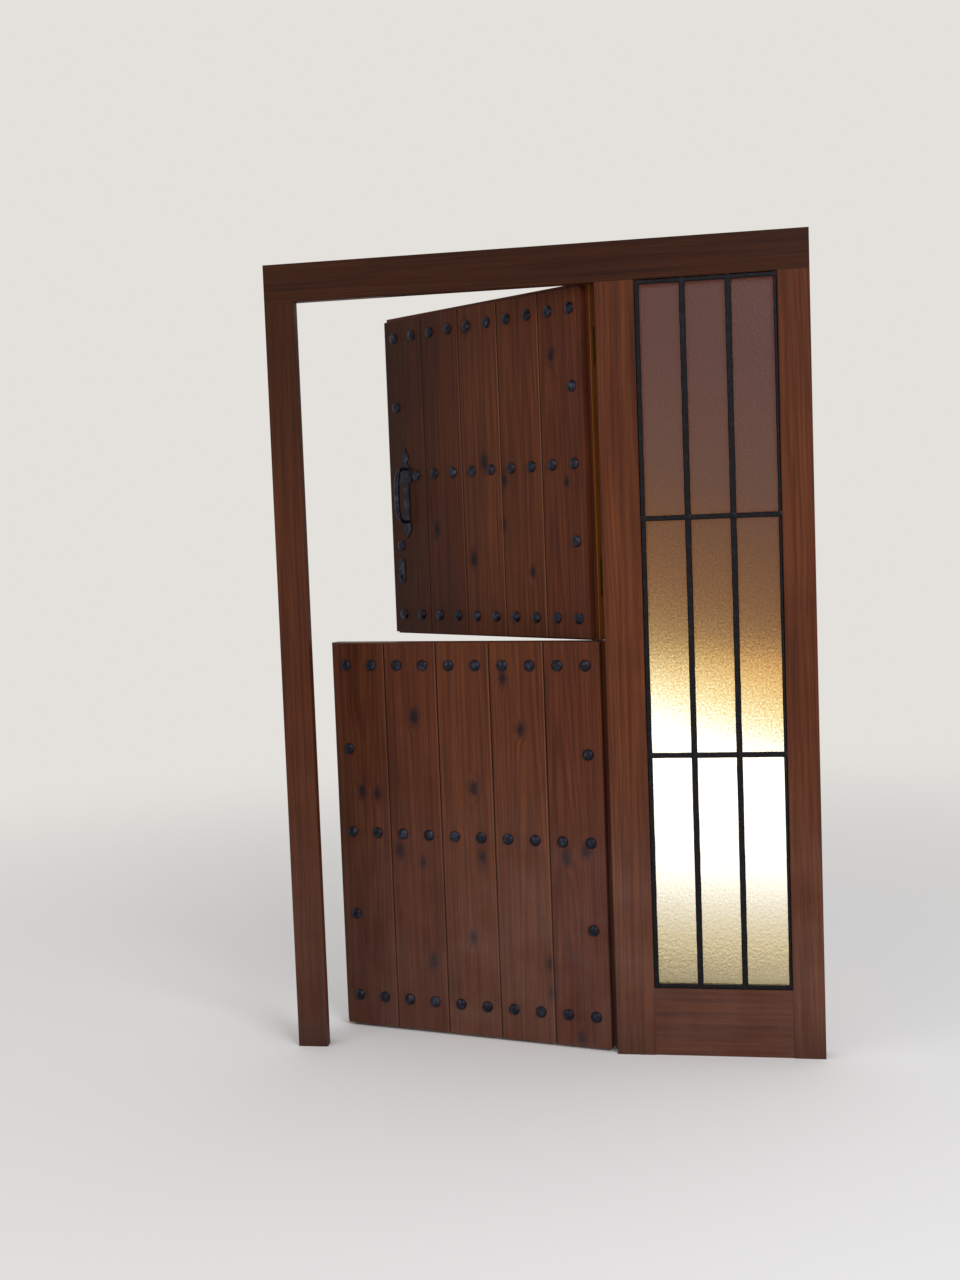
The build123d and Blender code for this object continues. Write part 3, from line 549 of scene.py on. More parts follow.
def corners_of(points):
    """The lowest and the highest corner of some points."""
    return [Vector([pick(p[i] for p in points) for i in range(3)]) for pick in (min, max)]


def closed_box(names, leaf):
    """The box of some nodes of a leaf, with the leaf closed."""
    back = turned(leaf).inverted()
    return corners_of([back @ v.co for name in names for v in nodes[name].data.vertices])


board_low, board_high = closed_box([f"lower_plank_{i + 1}" for i in range(plank_count)], "lower")
board_width = (board_high.x - board_low.x) / plank_count
print("board width", round(board_width / mm, 1), "mm")

# %% Place the knots and dress the boards
lower_knots = [
    (-622, 925, 11),
    (-343, 1040, 9),
    (-295, 896, 9),
    (-443, 725, 10),
    (-800, 705, 9),
    (-751, 701, 8),
    (-684, 536, 10),
    (-611, 505, 7),
    (-424, 527, 8),
    (-171, 540, 11),
    (-112, 561, 9),
    (-461, 293, 10),
    (-590, 215, 11),
    (-228, 235, 9),
    (-226, 150, 8),
    (-142, 31, 9),
]
upper_knots = [
    (-452, 1650, 11),
    (-372, 1594, 9),
    (-670, 1458, 9),
    (-382, 1466, 9),
    (-512, 1369, 11),
    (-127, 1577, 7),
    (-171, 1925, 9),
    (-515, 2040, 10),
    (-269, 1331, 7),
]
boards = (board_low.x, board_width, plank_count)
vee = 3.7 * mm
# Painted shade: both leaves darken towards the free edge, the upper one much more, and the upper
# leaf's lower tone is painted shade too.
lower_boards = pine(
    "pine_boards_lower", boards, leaf="lower", knots=lower_knots, vee=vee, edge_shade=0.85
)
upper_boards = pine(
    "pine_boards_upper", boards, leaf="upper", knots=upper_knots, vee=vee, edge_shade=0.36, tone=0.93
)
dress([f"lower_plank_{i + 1}" for i in range(plank_count)], lower_boards)
dress([f"upper_plank_{i + 1}" for i in range(plank_count)], upper_boards)
print(len(lower_knots), "knots below and", len(upper_knots), "above")

# %% [markdown]
# ## Stiles and rails
# Behind the boards each leaf has a framed back: two stiles with upright grain and three rails with
# level grain. Their edges, which show beside the mullion, carry a painted warm light.

# %% Dress the stiles and the rails
rail_strips = (-0.06, 0.4, 6)
# The hinge stile's edge carries a painted warm light.
lit_edge = 2 * mm
for leaf in ("lower", "upper"):
    back = {"leaf": leaf, "depth": 90 * mm}
    edge = closed_box([f"{leaf}_hinge_stile"], leaf)[1].x - lit_edge
    stiles = pine(f"pine_stiles_{leaf}", post_strips, lit_from=edge, **back)
    rails = pine(f"pine_rails_{leaf}", rail_strips, along="x", **back)
    dress([f"{leaf}_hinge_stile", f"{leaf}_lock_stile"], stiles)
    dress([f"{leaf}_bottom_rail", f"{leaf}_middle_rail", f"{leaf}_top_rail"], rails)
    print(leaf, "leaf: bare wood from", round(edge / mm, 1), "mm on")

# %% [markdown]
# ## Softened edges
# A plane and sandpaper take the sharp edge off every board, and stain wears there first. A narrow
# bevel modifier gives the edges that catch the light, without touching the measured solid.

# %% Bevel the timber
timber_edge = 1.2 * mm
sharp_angle = 40
timber = ["left_jamb", "mullion", "right_jamb", "head_rail", "sidelight_sill_rail"]
timber += [name for name in nodes if "plank" in name or "stile" in name]
timber += [name for name in nodes if name.endswith("rail") and name not in timber]


def soften(name, width):
    """A bevel on a node's sharp edges."""
    edge = nodes[name].modifiers.new("softened edge", "BEVEL")
    edge.width = width
    edge.segments = 2
    edge.limit_method = "ANGLE"
    edge.angle_limit = math.radians(sharp_angle)
    edge.use_clamp_overlap = True
    edge.harden_normals = False


for name in timber:
    soften(name, timber_edge)
print(len(timber), "pieces of timber with edges rounded over", timber_edge / mm, "mm")

# %% [markdown]
# ## Forged iron
# Blackened wrought iron is a metal under a thin skin of scale and wax: dark, a little blue, with a
# broken sheen. The hammer leaves shallow dents a few millimetres wide, drawn here as smooth cells,
# and finer scale lies over them.

# %% The iron's finish
scale_width = 10 / 9 * mm
wear_width = 50 / 3 * mm
iron_wear = (0.5, 0.75, 0.0, 0.6)
iron_sheen = (0.3, 0.7, 0.3, 0.52)
scale_rise = 0.12
dent_depth = 0.8 * mm
iron_edge = 0.5 * mm


def forged_iron(name, dent, base="#20202b", wear_and_highlight="#4c4e62"):
    """Blackened iron with hammer dents of a given width."""
    material, tree, shader = start_material(name, Metallic=0.85)
    place = add(tree, "TexCoord").outputs["Object"]
    cells = {"Scale": 1 / dent, "Smoothness": 0.6}
    dents = add(tree, "TexVoronoi", place, named=cells, feature="SMOOTH_F1")
    grain = {"Scale": 1 / scale_width, "Detail": 3.0, "Roughness": 0.6}
    scale = add(tree, "TexNoise", place, named=grain)
    patch = add(tree, "TexNoise", place, named={"Scale": 1 / wear_width, "Detail": 2.0})
    wear = add(tree, "MapRange", patch, *iron_wear)
    colour = add(tree, "Mix", wear, data_type="RGBA", named={6: linear(base), 7: linear(wear_and_highlight)})
    tree.links.new(colour.outputs[2], shader.inputs["Base Color"])
    rough = add(tree, "MapRange", scale, *iron_sheen)
    tree.links.new(rough.outputs[0], shader.inputs["Roughness"])
    peen = dents.outputs["Distance"]
    height = add(tree, "Math", scale, scale_rise, peen, operation="MULTIPLY_ADD")
    bump = add(tree, "Bump", named={"Strength": 0.5, "Distance": dent_depth, "Height": height})
    tree.links.new(bump.outputs[0], shader.inputs["Normal"])
    return material


hammered_iron = forged_iron("iron_forged_hammered", dent=5 * mm)
bar_iron = forged_iron("iron_forged_bars", dent=14 * mm, base="#1b1a1e", wear_and_highlight="#2b2a30")
iron_nodes = [n for n in nodes if "key_plate" in n or "keeper" in n or "bolt_plate" in n]
iron_nodes += ["lower_bolt_rod", "joining_bolt_rod", "pull_plate"]
dress(iron_nodes, hammered_iron)
for name in iron_nodes:
    soften(name, iron_edge)
print(len(iron_nodes), "forged solids, their edges rounded over", iron_edge / mm, "mm")

# %% [markdown]
# ## Studs
# Each stud is a nail with a round head that was domed under the hammer, so no two are quite alike.
# A ring-by-ring mesh gives a true dome with a rolled rim, and seeded noise dents it a little. All
# the studs of a leaf are one mesh, at the places of the plain solids that they stand for. A solid
# is found by walking along its edges from its first point, so a stud keeps its seed in every run.

# %% Find the studs and make new solids
stud_flats = 8
flat_to_corner = 1 / math.cos(math.pi / stud_flats)
same_point = 0.01 * mm


def node_islands(name):
    """The points of each separate solid of a node, always in the same order."""
    mesh = bmesh.new()
    mesh.from_mesh(nodes[name].data)
    bmesh.ops.remove_doubles(mesh, verts=mesh.verts, dist=same_point)
    seen = set()
    islands = []
    for first in mesh.verts:
        if first in seen:
            continue
        seen.add(first)
        island = [first]
        for vertex in island:
            for link in vertex.link_edges:
                other = link.other_vert(vertex)
                if other not in seen:
                    seen.add(other)
                    island.append(other)
        islands.append([vertex.co.copy() for vertex in island])
    mesh.free()
    return islands


def solid_from(name, mesh, material, body, smooth=True):
    """A new object from a bmesh, with its material, riding on a body."""
    data = bpy.data.meshes.new(name)
    mesh.to_mesh(data)
    mesh.free()
    data.materials.append(material)
    if smooth:
        data.shade_smooth()
    made = bpy.data.objects.new(name, data)
    bpy.context.scene.collection.objects.link(made)
    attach(made, body)
    return made


print("a stud's flats to its corners as 1 to", round(flat_to_corner, 3))

# %% [markdown]
# ## A dome under the hammer
# A dome is a stack of rings that grow smaller as they rise. The first ring lies on the board a
# little inside the rim, so the rim looks rolled. Noise is read at each point of the dome, with a
# seed for each stud, and pushes the point inwards where the hammer struck.

# %% Build the studs
stud_sides = 28
stud_rings = 8
foot_share = 0.97
rim_rise = 0.16
side_curve, rise_curve = 0.9, 1.15
dents_per_metre = 130
seed_apart = 7.3
side_dent, top_dent = 0.035, 0.12


def stud_dome(mesh, seat, radius, height, seed):
    """Adds one domed head. The seat moves it from its own plane, where it rises along -Y."""
    rings = []
    for ring in range(stud_rings + 1):
        share = ring / stud_rings
        if ring == 0:
            out, rise = radius * foot_share, 0.0
        else:
            angle = (share - 1 / stud_rings) / (1 - 1 / stud_rings) * math.pi / 2
            out = radius * math.cos(angle) ** side_curve
            rise = height * (rim_rise + (1 - rim_rise) * math.sin(angle) ** rise_curve)
        sides = 1 if ring == stud_rings else stud_sides
        loop = []
        for side in range(sides):
            turn = 2 * math.pi * side / stud_sides
            spot = Vector((out * math.cos(turn), -rise, out * math.sin(turn)))
            dent = noise.noise(spot * dents_per_metre + Vector((seed * seed_apart, seed, 0)))
            spot.x *= 1 - side_dent * abs(dent)
            spot.z *= 1 - side_dent * abs(dent)
            spot.y *= 1 - top_dent * max(0.0, dent)
            loop.append(mesh.verts.new(seat @ spot))
        rings.append(loop)
    for low, high in zip(rings, rings[1:]):
        for side in range(stud_sides):
            after = (side + 1) % stud_sides
            if len(high) == 1:
                mesh.faces.new((low[side], low[after], high[0]))
            else:
                mesh.faces.new((low[side], low[after], high[after], high[side]))
    mesh.faces.new(rings[0][::-1])


for leaf in ("lower", "upper"):
    move = turned(leaf)
    closed = move.inverted()
    mesh = bmesh.new()
    front = closed_box([f"{leaf}_plank_1"], leaf)[0].y
    for seed, points in enumerate(node_islands(f"{leaf}_studs")):
        low, high = corners_of([closed @ point for point in points])
        centre = Vector(((low.x + high.x) / 2, front, (low.z + high.z) / 2))
        radius = flat_to_corner * (high.x - low.x) / 2
        stud_dome(mesh, move @ Matrix.Translation(centre), radius, front - low.y, seed)
    heads = solid_from(f"{leaf}_stud_heads", mesh, hammered_iron, f"{leaf}_leaf")
    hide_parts(f"{leaf}_studs")
    print(leaf, "studs", len(heads.data.polygons), "faces")

# %% [markdown]
# ## The pull
# The pull is one bar, drawn thin at both ends, bowed out from its plate and left thicker where the
# hand closes. A tube that follows the bow of the plain solid, with many small rings, takes the
# swelling, two raised collars and the dents of the hammer.

# %% Measure the bow
grip_low, grip_high = closed_box(["pull_grip"], "upper")
grip_middle = (grip_low + grip_high) / 2
grip_radius = (grip_high.x - grip_low.x) / 2
grip_end_radius = 5.5 * mm
grip_reach = grip_high.y - grip_low.y - grip_radius
grip_half = (grip_high.z - grip_low.z) / 2 - grip_end_radius
bow_curve = 0.6
collar_rise = 1.6 * mm
collar_width = 0.055
collar_places = (0.30 * math.pi, 0.70 * math.pi)


def grip_point(turn):
    """A point of the bow, from its top at 0 to its foot at pi."""
    out = math.sin(turn) ** bow_curve
    along = math.copysign(abs(math.cos(turn)) ** bow_curve, math.cos(turn))
    height = grip_middle.z + grip_half * along
    return Vector((grip_middle.x, grip_high.y - grip_reach * out, height))


def collar(turn, where):
    """How far a raised collar stands out at a place on the bow."""
    return collar_rise * math.exp(-(((turn - where) / collar_width) ** 2))


print("the bow is", round(2 * (grip_half + grip_end_radius) / mm, 1), "mm long")

# %% Build the pull's grip
grip_rings = 64
grip_sides = 24
look_ahead = 0.03
grip_dent = 0.35 * mm
grip_dents_per_metre = 140
grip_dent_bias = 0.6


def grip_mesh():
    """The bow as a tube of rings that swells in its middle and has two collars."""
    mesh = bmesh.new()
    move = turned("upper")
    rings = []
    for ring in range(grip_rings + 1):
        turn = math.pi * ring / grip_rings
        ahead = grip_point(min(math.pi, turn + look_ahead))
        ahead -= grip_point(max(0.0, turn - look_ahead))
        if ring in (0, grip_rings):
            ahead = Vector((0, -1 if ring == 0 else 1, 0))
        across = Vector((1, 0, 0))
        side = ahead.normalized().cross(across)
        thick = grip_end_radius + (grip_radius - grip_end_radius) * math.sin(turn) ** 2
        thick += sum(collar(turn, where) for where in collar_places)
        loop = []
        for step in range(grip_sides):
            angle = 2 * math.pi * step / grip_sides
            out = across * math.cos(angle) + side * math.sin(angle)
            spot = grip_point(turn) + out * min(thick, grip_radius)
            dent = noise.noise(spot * grip_dents_per_metre) - grip_dent_bias
            spot += out * grip_dent * dent
            loop.append(mesh.verts.new(move @ spot))
        rings.append(loop)
    for low, high in zip(rings, rings[1:]):
        for step in range(grip_sides):
            after = (step + 1) % grip_sides
            mesh.faces.new((low[step], low[after], high[after], high[step]))
    mesh.faces.new(rings[0][::-1])
    mesh.faces.new(rings[-1])
    return mesh


grip = solid_from("pull_bow", grip_mesh(), hammered_iron, "upper_leaf")
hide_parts("pull_grip")
print("grip stands", round((grip_high.y - grip_low.y) / mm, 1), "mm proud")

# %% [markdown]
# ## Nails in the ironwork
# Small domed nails hold the pull, the key plates, the sliding bolts and their keepers. They are the
# studs' little sisters, so they come from the same dome, seated on each plate.

# %% How a nail is seated
nail_radius = 4.2 * mm
nail_height = 2.4 * mm
nail_seed = 50
plate_inset = 6 * mm
plate_skin = 3 * mm
room_side = (0, 1, 0)
street_side = (0, -1, 0)


def seat_at(place, facing):
    """A seat at a place, whose -Y faces along a direction."""
    turn = Vector((0, -1, 0)).rotation_difference(Vector(facing)).to_matrix().to_4x4()
    return Matrix.Translation(place) @ turn


def nail_group(name, leaf, places, facing):
    """One mesh of small nails on a leaf, or on the frame where the leaf is None."""
    mesh = bmesh.new()
    move = turned(leaf) if leaf else Matrix.Identity(4)
    for seed, place in enumerate(places):
        seat = move @ seat_at(place, facing)
        stud_dome(mesh, seat, nail_radius, nail_height, seed + nail_seed)
    nails = solid_from(name, mesh, hammered_iron, f"{leaf}_leaf" if leaf else "root")
    print(name, len(places))


def bolt_nails(node, leaf, upright, pairs):
    """Where the nails of a bolt's plate or a keeper go, in one or two pairs."""
    low, high = closed_box([node], leaf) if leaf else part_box(node)
    middle = (low + high) / 2
    inset = Vector([plate_inset] * 3)
    ends = [middle] if pairs == 1 else [low + inset, high - inset]
    spots = []
    for end in ends:
        for side in (-1, 1):
            if upright:
                x, z = middle.x + side * ((high.x - low.x) / 2 - plate_inset), end.z
            else:
                x, z = end.x, middle.z + side * ((high.z - low.z) / 2 - plate_inset)
            spots.append(Vector((x, low.y + plate_skin, z)))
    return spots


for name, node, leaf, upright_plate, pairs in (
    ("lower_bolt_nails", "lower_bolt_plate", "lower", False, 2),
    ("jamb_keeper_nails", "jamb_keeper", None, False, 1),
    ("joining_bolt_nails", "joining_bolt_plate", "upper", True, 2),
    ("joining_keeper_nails", "joining_keeper", "lower", True, 1),
):
    nail_group(name, leaf, bolt_nails(node, leaf, upright_plate, pairs), room_side)

# %% Nails in the key plates and the pull
pull_shoulder = 81 * mm
pull_nail_top, pull_nail_foot = 28 * mm, 30 * mm
pull_nail_side = 21 * mm
for side, facing in (("outer", street_side), ("inner", room_side)):
    low, high = closed_box([f"{side}_key_plate"], "upper")
    face = low.y if side == "outer" else high.y
    middle_x = (low.x + high.x) / 2
    spots = [Vector((middle_x, face, z)) for z in (low.z + plate_inset, high.z - plate_inset)]
    nail_group(f"{side}_key_plate_nails", "upper", spots, facing)
low, high = closed_box(["pull_plate"], "upper")
middle_x = (low.x + high.x) / 2
spots = [
    Vector((middle_x, low.y, high.z - pull_nail_top)),
    Vector((middle_x - pull_nail_side, low.y, high.z - pull_shoulder)),
    Vector((middle_x + pull_nail_side, low.y, high.z - pull_shoulder)),
    Vector((middle_x, low.y, low.z + pull_nail_foot)),
]
nail_group("pull_nails", "upper", spots, street_side)

# %% [markdown]
# ## The grille
# A smith drew the grille's square bars by hand, so they swell and wander by a fraction of a
# millimetre and their corners are rounded off. Each bar is a row of rings along its line, with
# seeded noise on their width and place.

# %% Forge a bar
ring_pitch = 16 * mm
corner_cut = 2 * mm
swell_share, thin_share = 0.06, 0.05
wander_reach = 0.6 * mm
luck_step = (31.0, 0.45, 0.5)
wander_luck = Vector((5, 0, 7))
thin_luck = 1.7
grille_low, grille_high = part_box("sidelight_grille")
grille_y = (grille_low.y + grille_high.y) / 2
bar = grille_high.y - grille_low.y


def forged_bar(mesh, start, end, wide, deep, seed):
    """Adds a bar between two (x, z) places, with its width in the door's plane and its depth."""
    start, end = Vector((start[0], grille_y, start[1])), Vector((end[0], grille_y, end[1]))
    across = (end - start).normalized().cross(Vector((0, 1, 0)))
    outline = []
    for u, v in ((1, 1), (-1, 1), (-1, -1), (1, -1)):
        flank = (u * wide / 2, v * (deep / 2 - corner_cut))
        face = (u * (wide / 2 - corner_cut), v * deep / 2)
        outline += [flank, face] if u * v > 0 else [face, flank]
    count = max(1, round((end - start).length / ring_pitch))
    rings = []
    for ring in range(count + 1):
        luck = Vector((luck_step[0] * seed, luck_step[1] * ring, luck_step[2]))
        swell = 1 + swell_share * noise.noise(luck)
        wander = wander_reach * noise.noise(luck + wander_luck)
        thin = 1 - thin_share * abs(noise.noise(luck * thin_luck))
        spot = start.lerp(end, ring / count) + across * wander
        loop = [spot + across * u * swell + Vector((0, v * thin, 0)) for u, v in outline]
        rings.append([mesh.verts.new(place) for place in loop])
    for low, high in zip(rings, rings[1:]):
        for side in range(len(outline)):
            after = (side + 1) % len(outline)
            mesh.faces.new((low[side], low[after], high[after], high[side]))
    mesh.faces.new(rings[0][::-1])
    mesh.faces.new(rings[-1])


print("bars", round(bar / mm, 1), "mm deep, a ring every", ring_pitch / mm, "mm")

# %% [markdown]
# ## The grille in its opening
# Four uprights and two bars at the ends fill the opening, and two cross bars tie them and go into
# sockets in the timber. The inner bars are a little stouter than the outer ones. An upright is a
# touch thinner than a cross bar, so that no two faces lie in one plane where they cross.

# %% Build the grille from its bars
bar_count = 4
upright_wide = 16 * mm
cross_wide = 14 * mm
left_wide, right_wide = 13 * mm, 9 * mm
upright_deep = 11.4 * mm
cross_bars = (828 * mm, 1468 * mm)
timber_gap = 0.5 * mm
socket_overlap = 4 * mm
end_seed, cross_seed, socket_seed = 5, 7, 9
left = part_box("mullion")[1].x + timber_gap
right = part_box("right_jamb")[0].x - timber_gap
foot, head = grille_low.z, grille_high.z
first_bar = left + bar / 2
bar_pitch = (right - left - bar) / (bar_count - 1)
uprights = [(left + left_wide / 2, left_wide), (right - right_wide / 2, right_wide)]
uprights += [(first_bar + column * bar_pitch, upright_wide) for column in (1, 2)]
mesh = bmesh.new()
for seed, (x, wide) in enumerate(uprights, start=1):
    forged_bar(mesh, (x, foot), (x, head), wide, upright_deep, seed)
for row, z in enumerate((foot + bar / 2, head - bar / 2)):
    forged_bar(mesh, (left, z), (right, z), bar, bar, end_seed + row)
for row, z in enumerate(cross_bars):
    forged_bar(mesh, (left, z), (right, z), cross_wide, bar, cross_seed + row)
    sockets = ((left + socket_overlap, grille_low.x), (right - socket_overlap, grille_high.x))
    thin = bar - timber_gap
    for inner, outer in sockets:
        forged_bar(mesh, (inner, z), (outer, z), thin, thin, socket_seed + row)
grille = solid_from("grille_bars", mesh, bar_iron, "root", smooth=False)
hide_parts("sidelight_grille")
print("grille", len(grille.data.polygons), "faces")

# %% [markdown]
# ## Beads on the crossings
# Where a cross bar is welded to an upright, the smith's hammer leaves a low flat bead. It is the
# studs' dome again, wide and only two millimetres high.

# %% Add the beads
bead_radius, bead_rise = 9 * mm, 2 * mm
bead_seed = 90
mesh = bmesh.new()
for row, z in enumerate(cross_bars):
    for column in range(bar_count):
        spot = Vector((first_bar + column * bar_pitch, grille_low.y, z))
        seed = bead_seed + bar_count * row + column
        stud_dome(mesh, seat_at(spot, street_side), bead_radius, bead_rise, seed)
beads = solid_from("grille_beads", mesh, bar_iron, "root")
print("beads", bar_count * len(cross_bars))

# %% [markdown]
# ## Brass and zinc
# The hinges are steel with a dull brass plating, and the lock's parts and screws are zinc plated:
# both are metals that a roller or a plating bath left with fine, even roughness.

# %% Plated metals
plating_grain = 25 / 6 * mm
duller, shinier = 0.08, 0.06
plate_edge = 0.3 * mm


def plated(name, colour, roughness):
    """Plated steel: one even colour, with a soft variation in its sheen."""
    material, tree, shader = start_material(name, Metallic=1.0, Base_Color=linear(colour))
    place = add(tree, "TexCoord").outputs["Object"]
    grain = add(tree, "TexNoise", place, named={"Scale": 1 / plating_grain, "Detail": 2.0})
    rough = add(tree, "MapRange", grain, 0.3, 0.7, roughness - shinier, roughness + duller)
    tree.links.new(rough.outputs[0], shader.inputs["Roughness"])
    return material


dull_brass = plated("steel_brass_plated", "#a8925c", roughness=0.34)
bright_zinc = plated("steel_zinc_plated", "#b4b6b8", roughness=0.32)
hinge_nodes = [n for n in nodes if "hinge_plate" in n] + ["hinge_pins"]
lock_nodes = ["strike_plate", "lock_forend", "lock_case", "dead_bolt"]
dress(hinge_nodes, dull_brass)
dress(lock_nodes, bright_zinc)
for name in hinge_nodes + lock_nodes:
    soften(name, plate_edge)
print(len(hinge_nodes), "hinge solids and", len(lock_nodes), "lock solids")

# %% [markdown]
# ## Screws
# Countersunk screws with a straight slot fill the tapered holes of the hinges and the lock. A head
# is two half moons at the plate's face with the slot's floor between them.

# %% A screw's head
screw_radius = 4.0 * mm
slot_half = 0.55 * mm
slot_depth = 0.9 * mm
arc_steps = 9


def screw_head(mesh, seat, turn):
    """Adds one slotted head. The seat's -Y faces out of the plate, and turn is its angle."""
    spin = Matrix.Rotation(turn, 4, "Y")
    start = math.asin(slot_half / screw_radius)
    corners = []
    for sign in (1, -1):
        rim = []
        for step in range(arc_steps + 1):
            angle = start + (math.pi - 2 * start) * step / arc_steps
            along, aside = screw_radius * math.cos(angle), sign * screw_radius * math.sin(angle)
            rim.append(Vector((along, 0, aside)))
        face = [mesh.verts.new(seat @ spin @ spot) for spot in rim]
        mesh.faces.new(face if sign < 0 else face[::-1])
        low_ends = [rim[i] + Vector((0, slot_depth, 0)) for i in (0, -1)]
        low_ends = [mesh.verts.new(seat @ spin @ spot) for spot in low_ends]
        mesh.faces.new((face[0], face[-1], low_ends[1], low_ends[0]))
        corners.append(low_ends)
    mesh.faces.new((corners[0][0], corners[0][1], corners[1][1], corners[1][0]))


def screw_group(name, leaf, places, facing, material):
    """One mesh of screws on a leaf, or on the frame where the leaf is None."""
    mesh = bmesh.new()
    luck = random.Random(name)
    move = turned(leaf) if leaf else Matrix.Identity(4)
    for place in places:
        screw_head(mesh, move @ seat_at(place, facing), luck.uniform(0, math.pi))
    screws = solid_from(name, mesh, material, f"{leaf}_leaf" if leaf else "root", smooth=False)
    print(name, len(places))


print("heads", 2 * screw_radius / mm, "mm wide with slots", slot_depth / mm, "mm deep")

# %% Screws in the hinges and the lock
hinge_gap = 0.25 * mm
hinge_plate_half = 15 * mm
hinge_pitch = 36 * mm
strike_reach, forend_reach = 56.8 * mm, 71.8 * mm
heights = {None: [], "lower": [], "upper": []}
plate_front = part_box("frame_hinge_plate_1")[0].y
for name in hinge_nodes:
    if name == "hinge_pins":
        continue
    leaf = None if name.startswith("frame") else name.split("_")[0]
    low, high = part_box(name)
    heights[leaf] += [(low.z + high.z) / 2 + step * hinge_pitch for step in (-1, 0, 1)]
for leaf, side in ((None, -1), ("lower", 1), ("upper", 1)):
    x = hinge.x - side * hinge_gap
    spots = [Vector((x, plate_front + hinge_plate_half, z)) for z in heights[leaf]]
    name = f"{leaf or 'frame'}_hinge_screws"
    screw_group(name, leaf, spots, (side, 0, 0), dull_brass)
for name, node, leaf, side, reach in (
    ("strike_screws", "strike_plate", None, 1, strike_reach),
    ("forend_screws", "lock_forend", "upper", -1, forend_reach),
):
    low, high = closed_box([node], leaf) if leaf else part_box(node)
    middle = (low + high) / 2
    x = high.x if side > 0 else low.x
    spots = [Vector((x, middle.y, middle.z + sign * reach)) for sign in (-1, 1)]
    screw_group(name, leaf, spots, (side, 0, 0), bright_zinc)

# %% [markdown]
# ## Hammered glass
# Cast glass that was rolled between a smooth and a dimpled roller lets light in but no view. The
# dimples are about 7 mm wide, drawn as smooth cells in the surface's bump. A colour ramp that
# follows the height, given in millimetres, paints light into the pane: a painted glow from behind,
# nearly white in its lower middle, and a smoky brown painted shade above. Each dimple bends the
# view up or down, so noise shifts the height that the ramp is read at, and that gives a fine
# painted sparkle where the tone changes. The painted shade also comes lower away from the door.

# %% The pane
dimple = 7 * mm
dimple_shift = 400 * mm
dimple_depth = 1.2 * mm
sparkles_per_dimple = 1.3
slant_from_height = (0.6, 0.9, 0.0, 0.35)
glint_gain = (0.35, 0.65, 1.1, 0.9)
sparkle_rise = 0.5
pane_middle = (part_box("sidelight_glass")[0].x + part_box("sidelight_glass")[1].x) / 2
# Painted light up the pane: heights in mm and colours, a glow from behind low down and painted
# shade above.
painted_glow_tones = (
    (190, "#cdbf97"),
    (253, "#cdbf97"),
    (321, "#c4ba9c"),
    (415, "#d8d6cc"),
    (520, "#ffffff"),
    (850, "#ffffff"),
    (905, "#e6e3d6"),
    (954, "#d3caa6"),
    (1015, "#c5b281"),
    (1081, "#b8965d"),
    (1148, "#a87f4a"),
    (1215, "#966a3c"),
    (1281, "#8a5c31"),
    (1415, "#784b26"),
    (1560, "#6c4331"),
    (1930, "#60362f"),
)
print("dimples", dimple / mm, "mm wide,", len(painted_glow_tones), "tones up the pane")


# %% The glass
def hammered_glass():
    """Dimpled glass whose colour is a painted glow and painted shade that follow the height."""
    material, tree, shader = start_material(
        "glass_cast_hammered", IOR=1.52, Transmission_Weight=1.0, Roughness=0.28
    )
    place = add(tree, "TexCoord").outputs["Object"]
    x, y, z = add(tree, "SeparateXYZ", place).outputs
    grain = {"Scale": sparkles_per_dimple / dimple, "Detail": 2.0}
    sparkle = add(tree, "TexNoise", place, named=grain)
    shift = add(tree, "Math", sparkle, 0.5, operation="SUBTRACT")
    # The painted shade comes lower away from the door.
    slope = add(tree, "MapRange", z, *slant_from_height)
    slant = add(tree, "Math", x, pane_middle, operation="SUBTRACT")
    slant = add(tree, "Math", slant, slope, z, operation="MULTIPLY_ADD")
    seen_at = add(tree, "Math", shift, dimple_shift, slant, operation="MULTIPLY_ADD")
    foot, top = painted_glow_tones[0][0], painted_glow_tones[-1][0]
    painted_glow = add(tree, "ValToRGB", add(tree, "MapRange", seen_at, foot * mm, top * mm, 0.0, 1.0))
    ramp = painted_glow.color_ramp
    for height, colour in painted_glow_tones:
        if height == foot:
            stop = ramp.elements[0]
        elif height == top:
            stop = ramp.elements[-1]
        else:
            stop = ramp.elements.new((height - foot) / (top - foot))
        stop.color = linear(colour)
    cells = {"Scale": 1 / dimple, "Smoothness": 0.8}
    cells = add(tree, "TexVoronoi", place, named=cells, feature="SMOOTH_F1")
    # Painted glints: the noise brightens and darkens the colour a little.
    gain = add(tree, "MapRange", sparkle, *glint_gain)
    colour = add(tree, "HueSaturation", 0.5, 1.0, gain, named={"Color": painted_glow.outputs[0]})
    tree.links.new(colour.outputs[0], shader.inputs["Base Color"])
    hollow = cells.outputs["Distance"]
    height = add(tree, "Math", sparkle, sparkle_rise, hollow, operation="MULTIPLY_ADD")
    bump = add(tree, "Bump", named={"Strength": 0.5, "Distance": dimple_depth, "Height": height})
    tree.links.new(bump.outputs[0], shader.inputs["Normal"])
    return material


dress(["sidelight_glass"], hammered_glass())
print("the pane's middle is at x", round(pane_middle, 3), "m")

# %% [markdown]
# ## The floor
# A wide pale floor of matt paper carries the door's shadow. Further off it turns slowly into plain
# light of the world's tone, so that floor and background meet with no line between them.

# %% A pale paper floor
paper = "#e4e1dc"
lit_paper = "#f8f6f2"
floor_half = 40
fade_from, fade_to = 1.6, 6.0


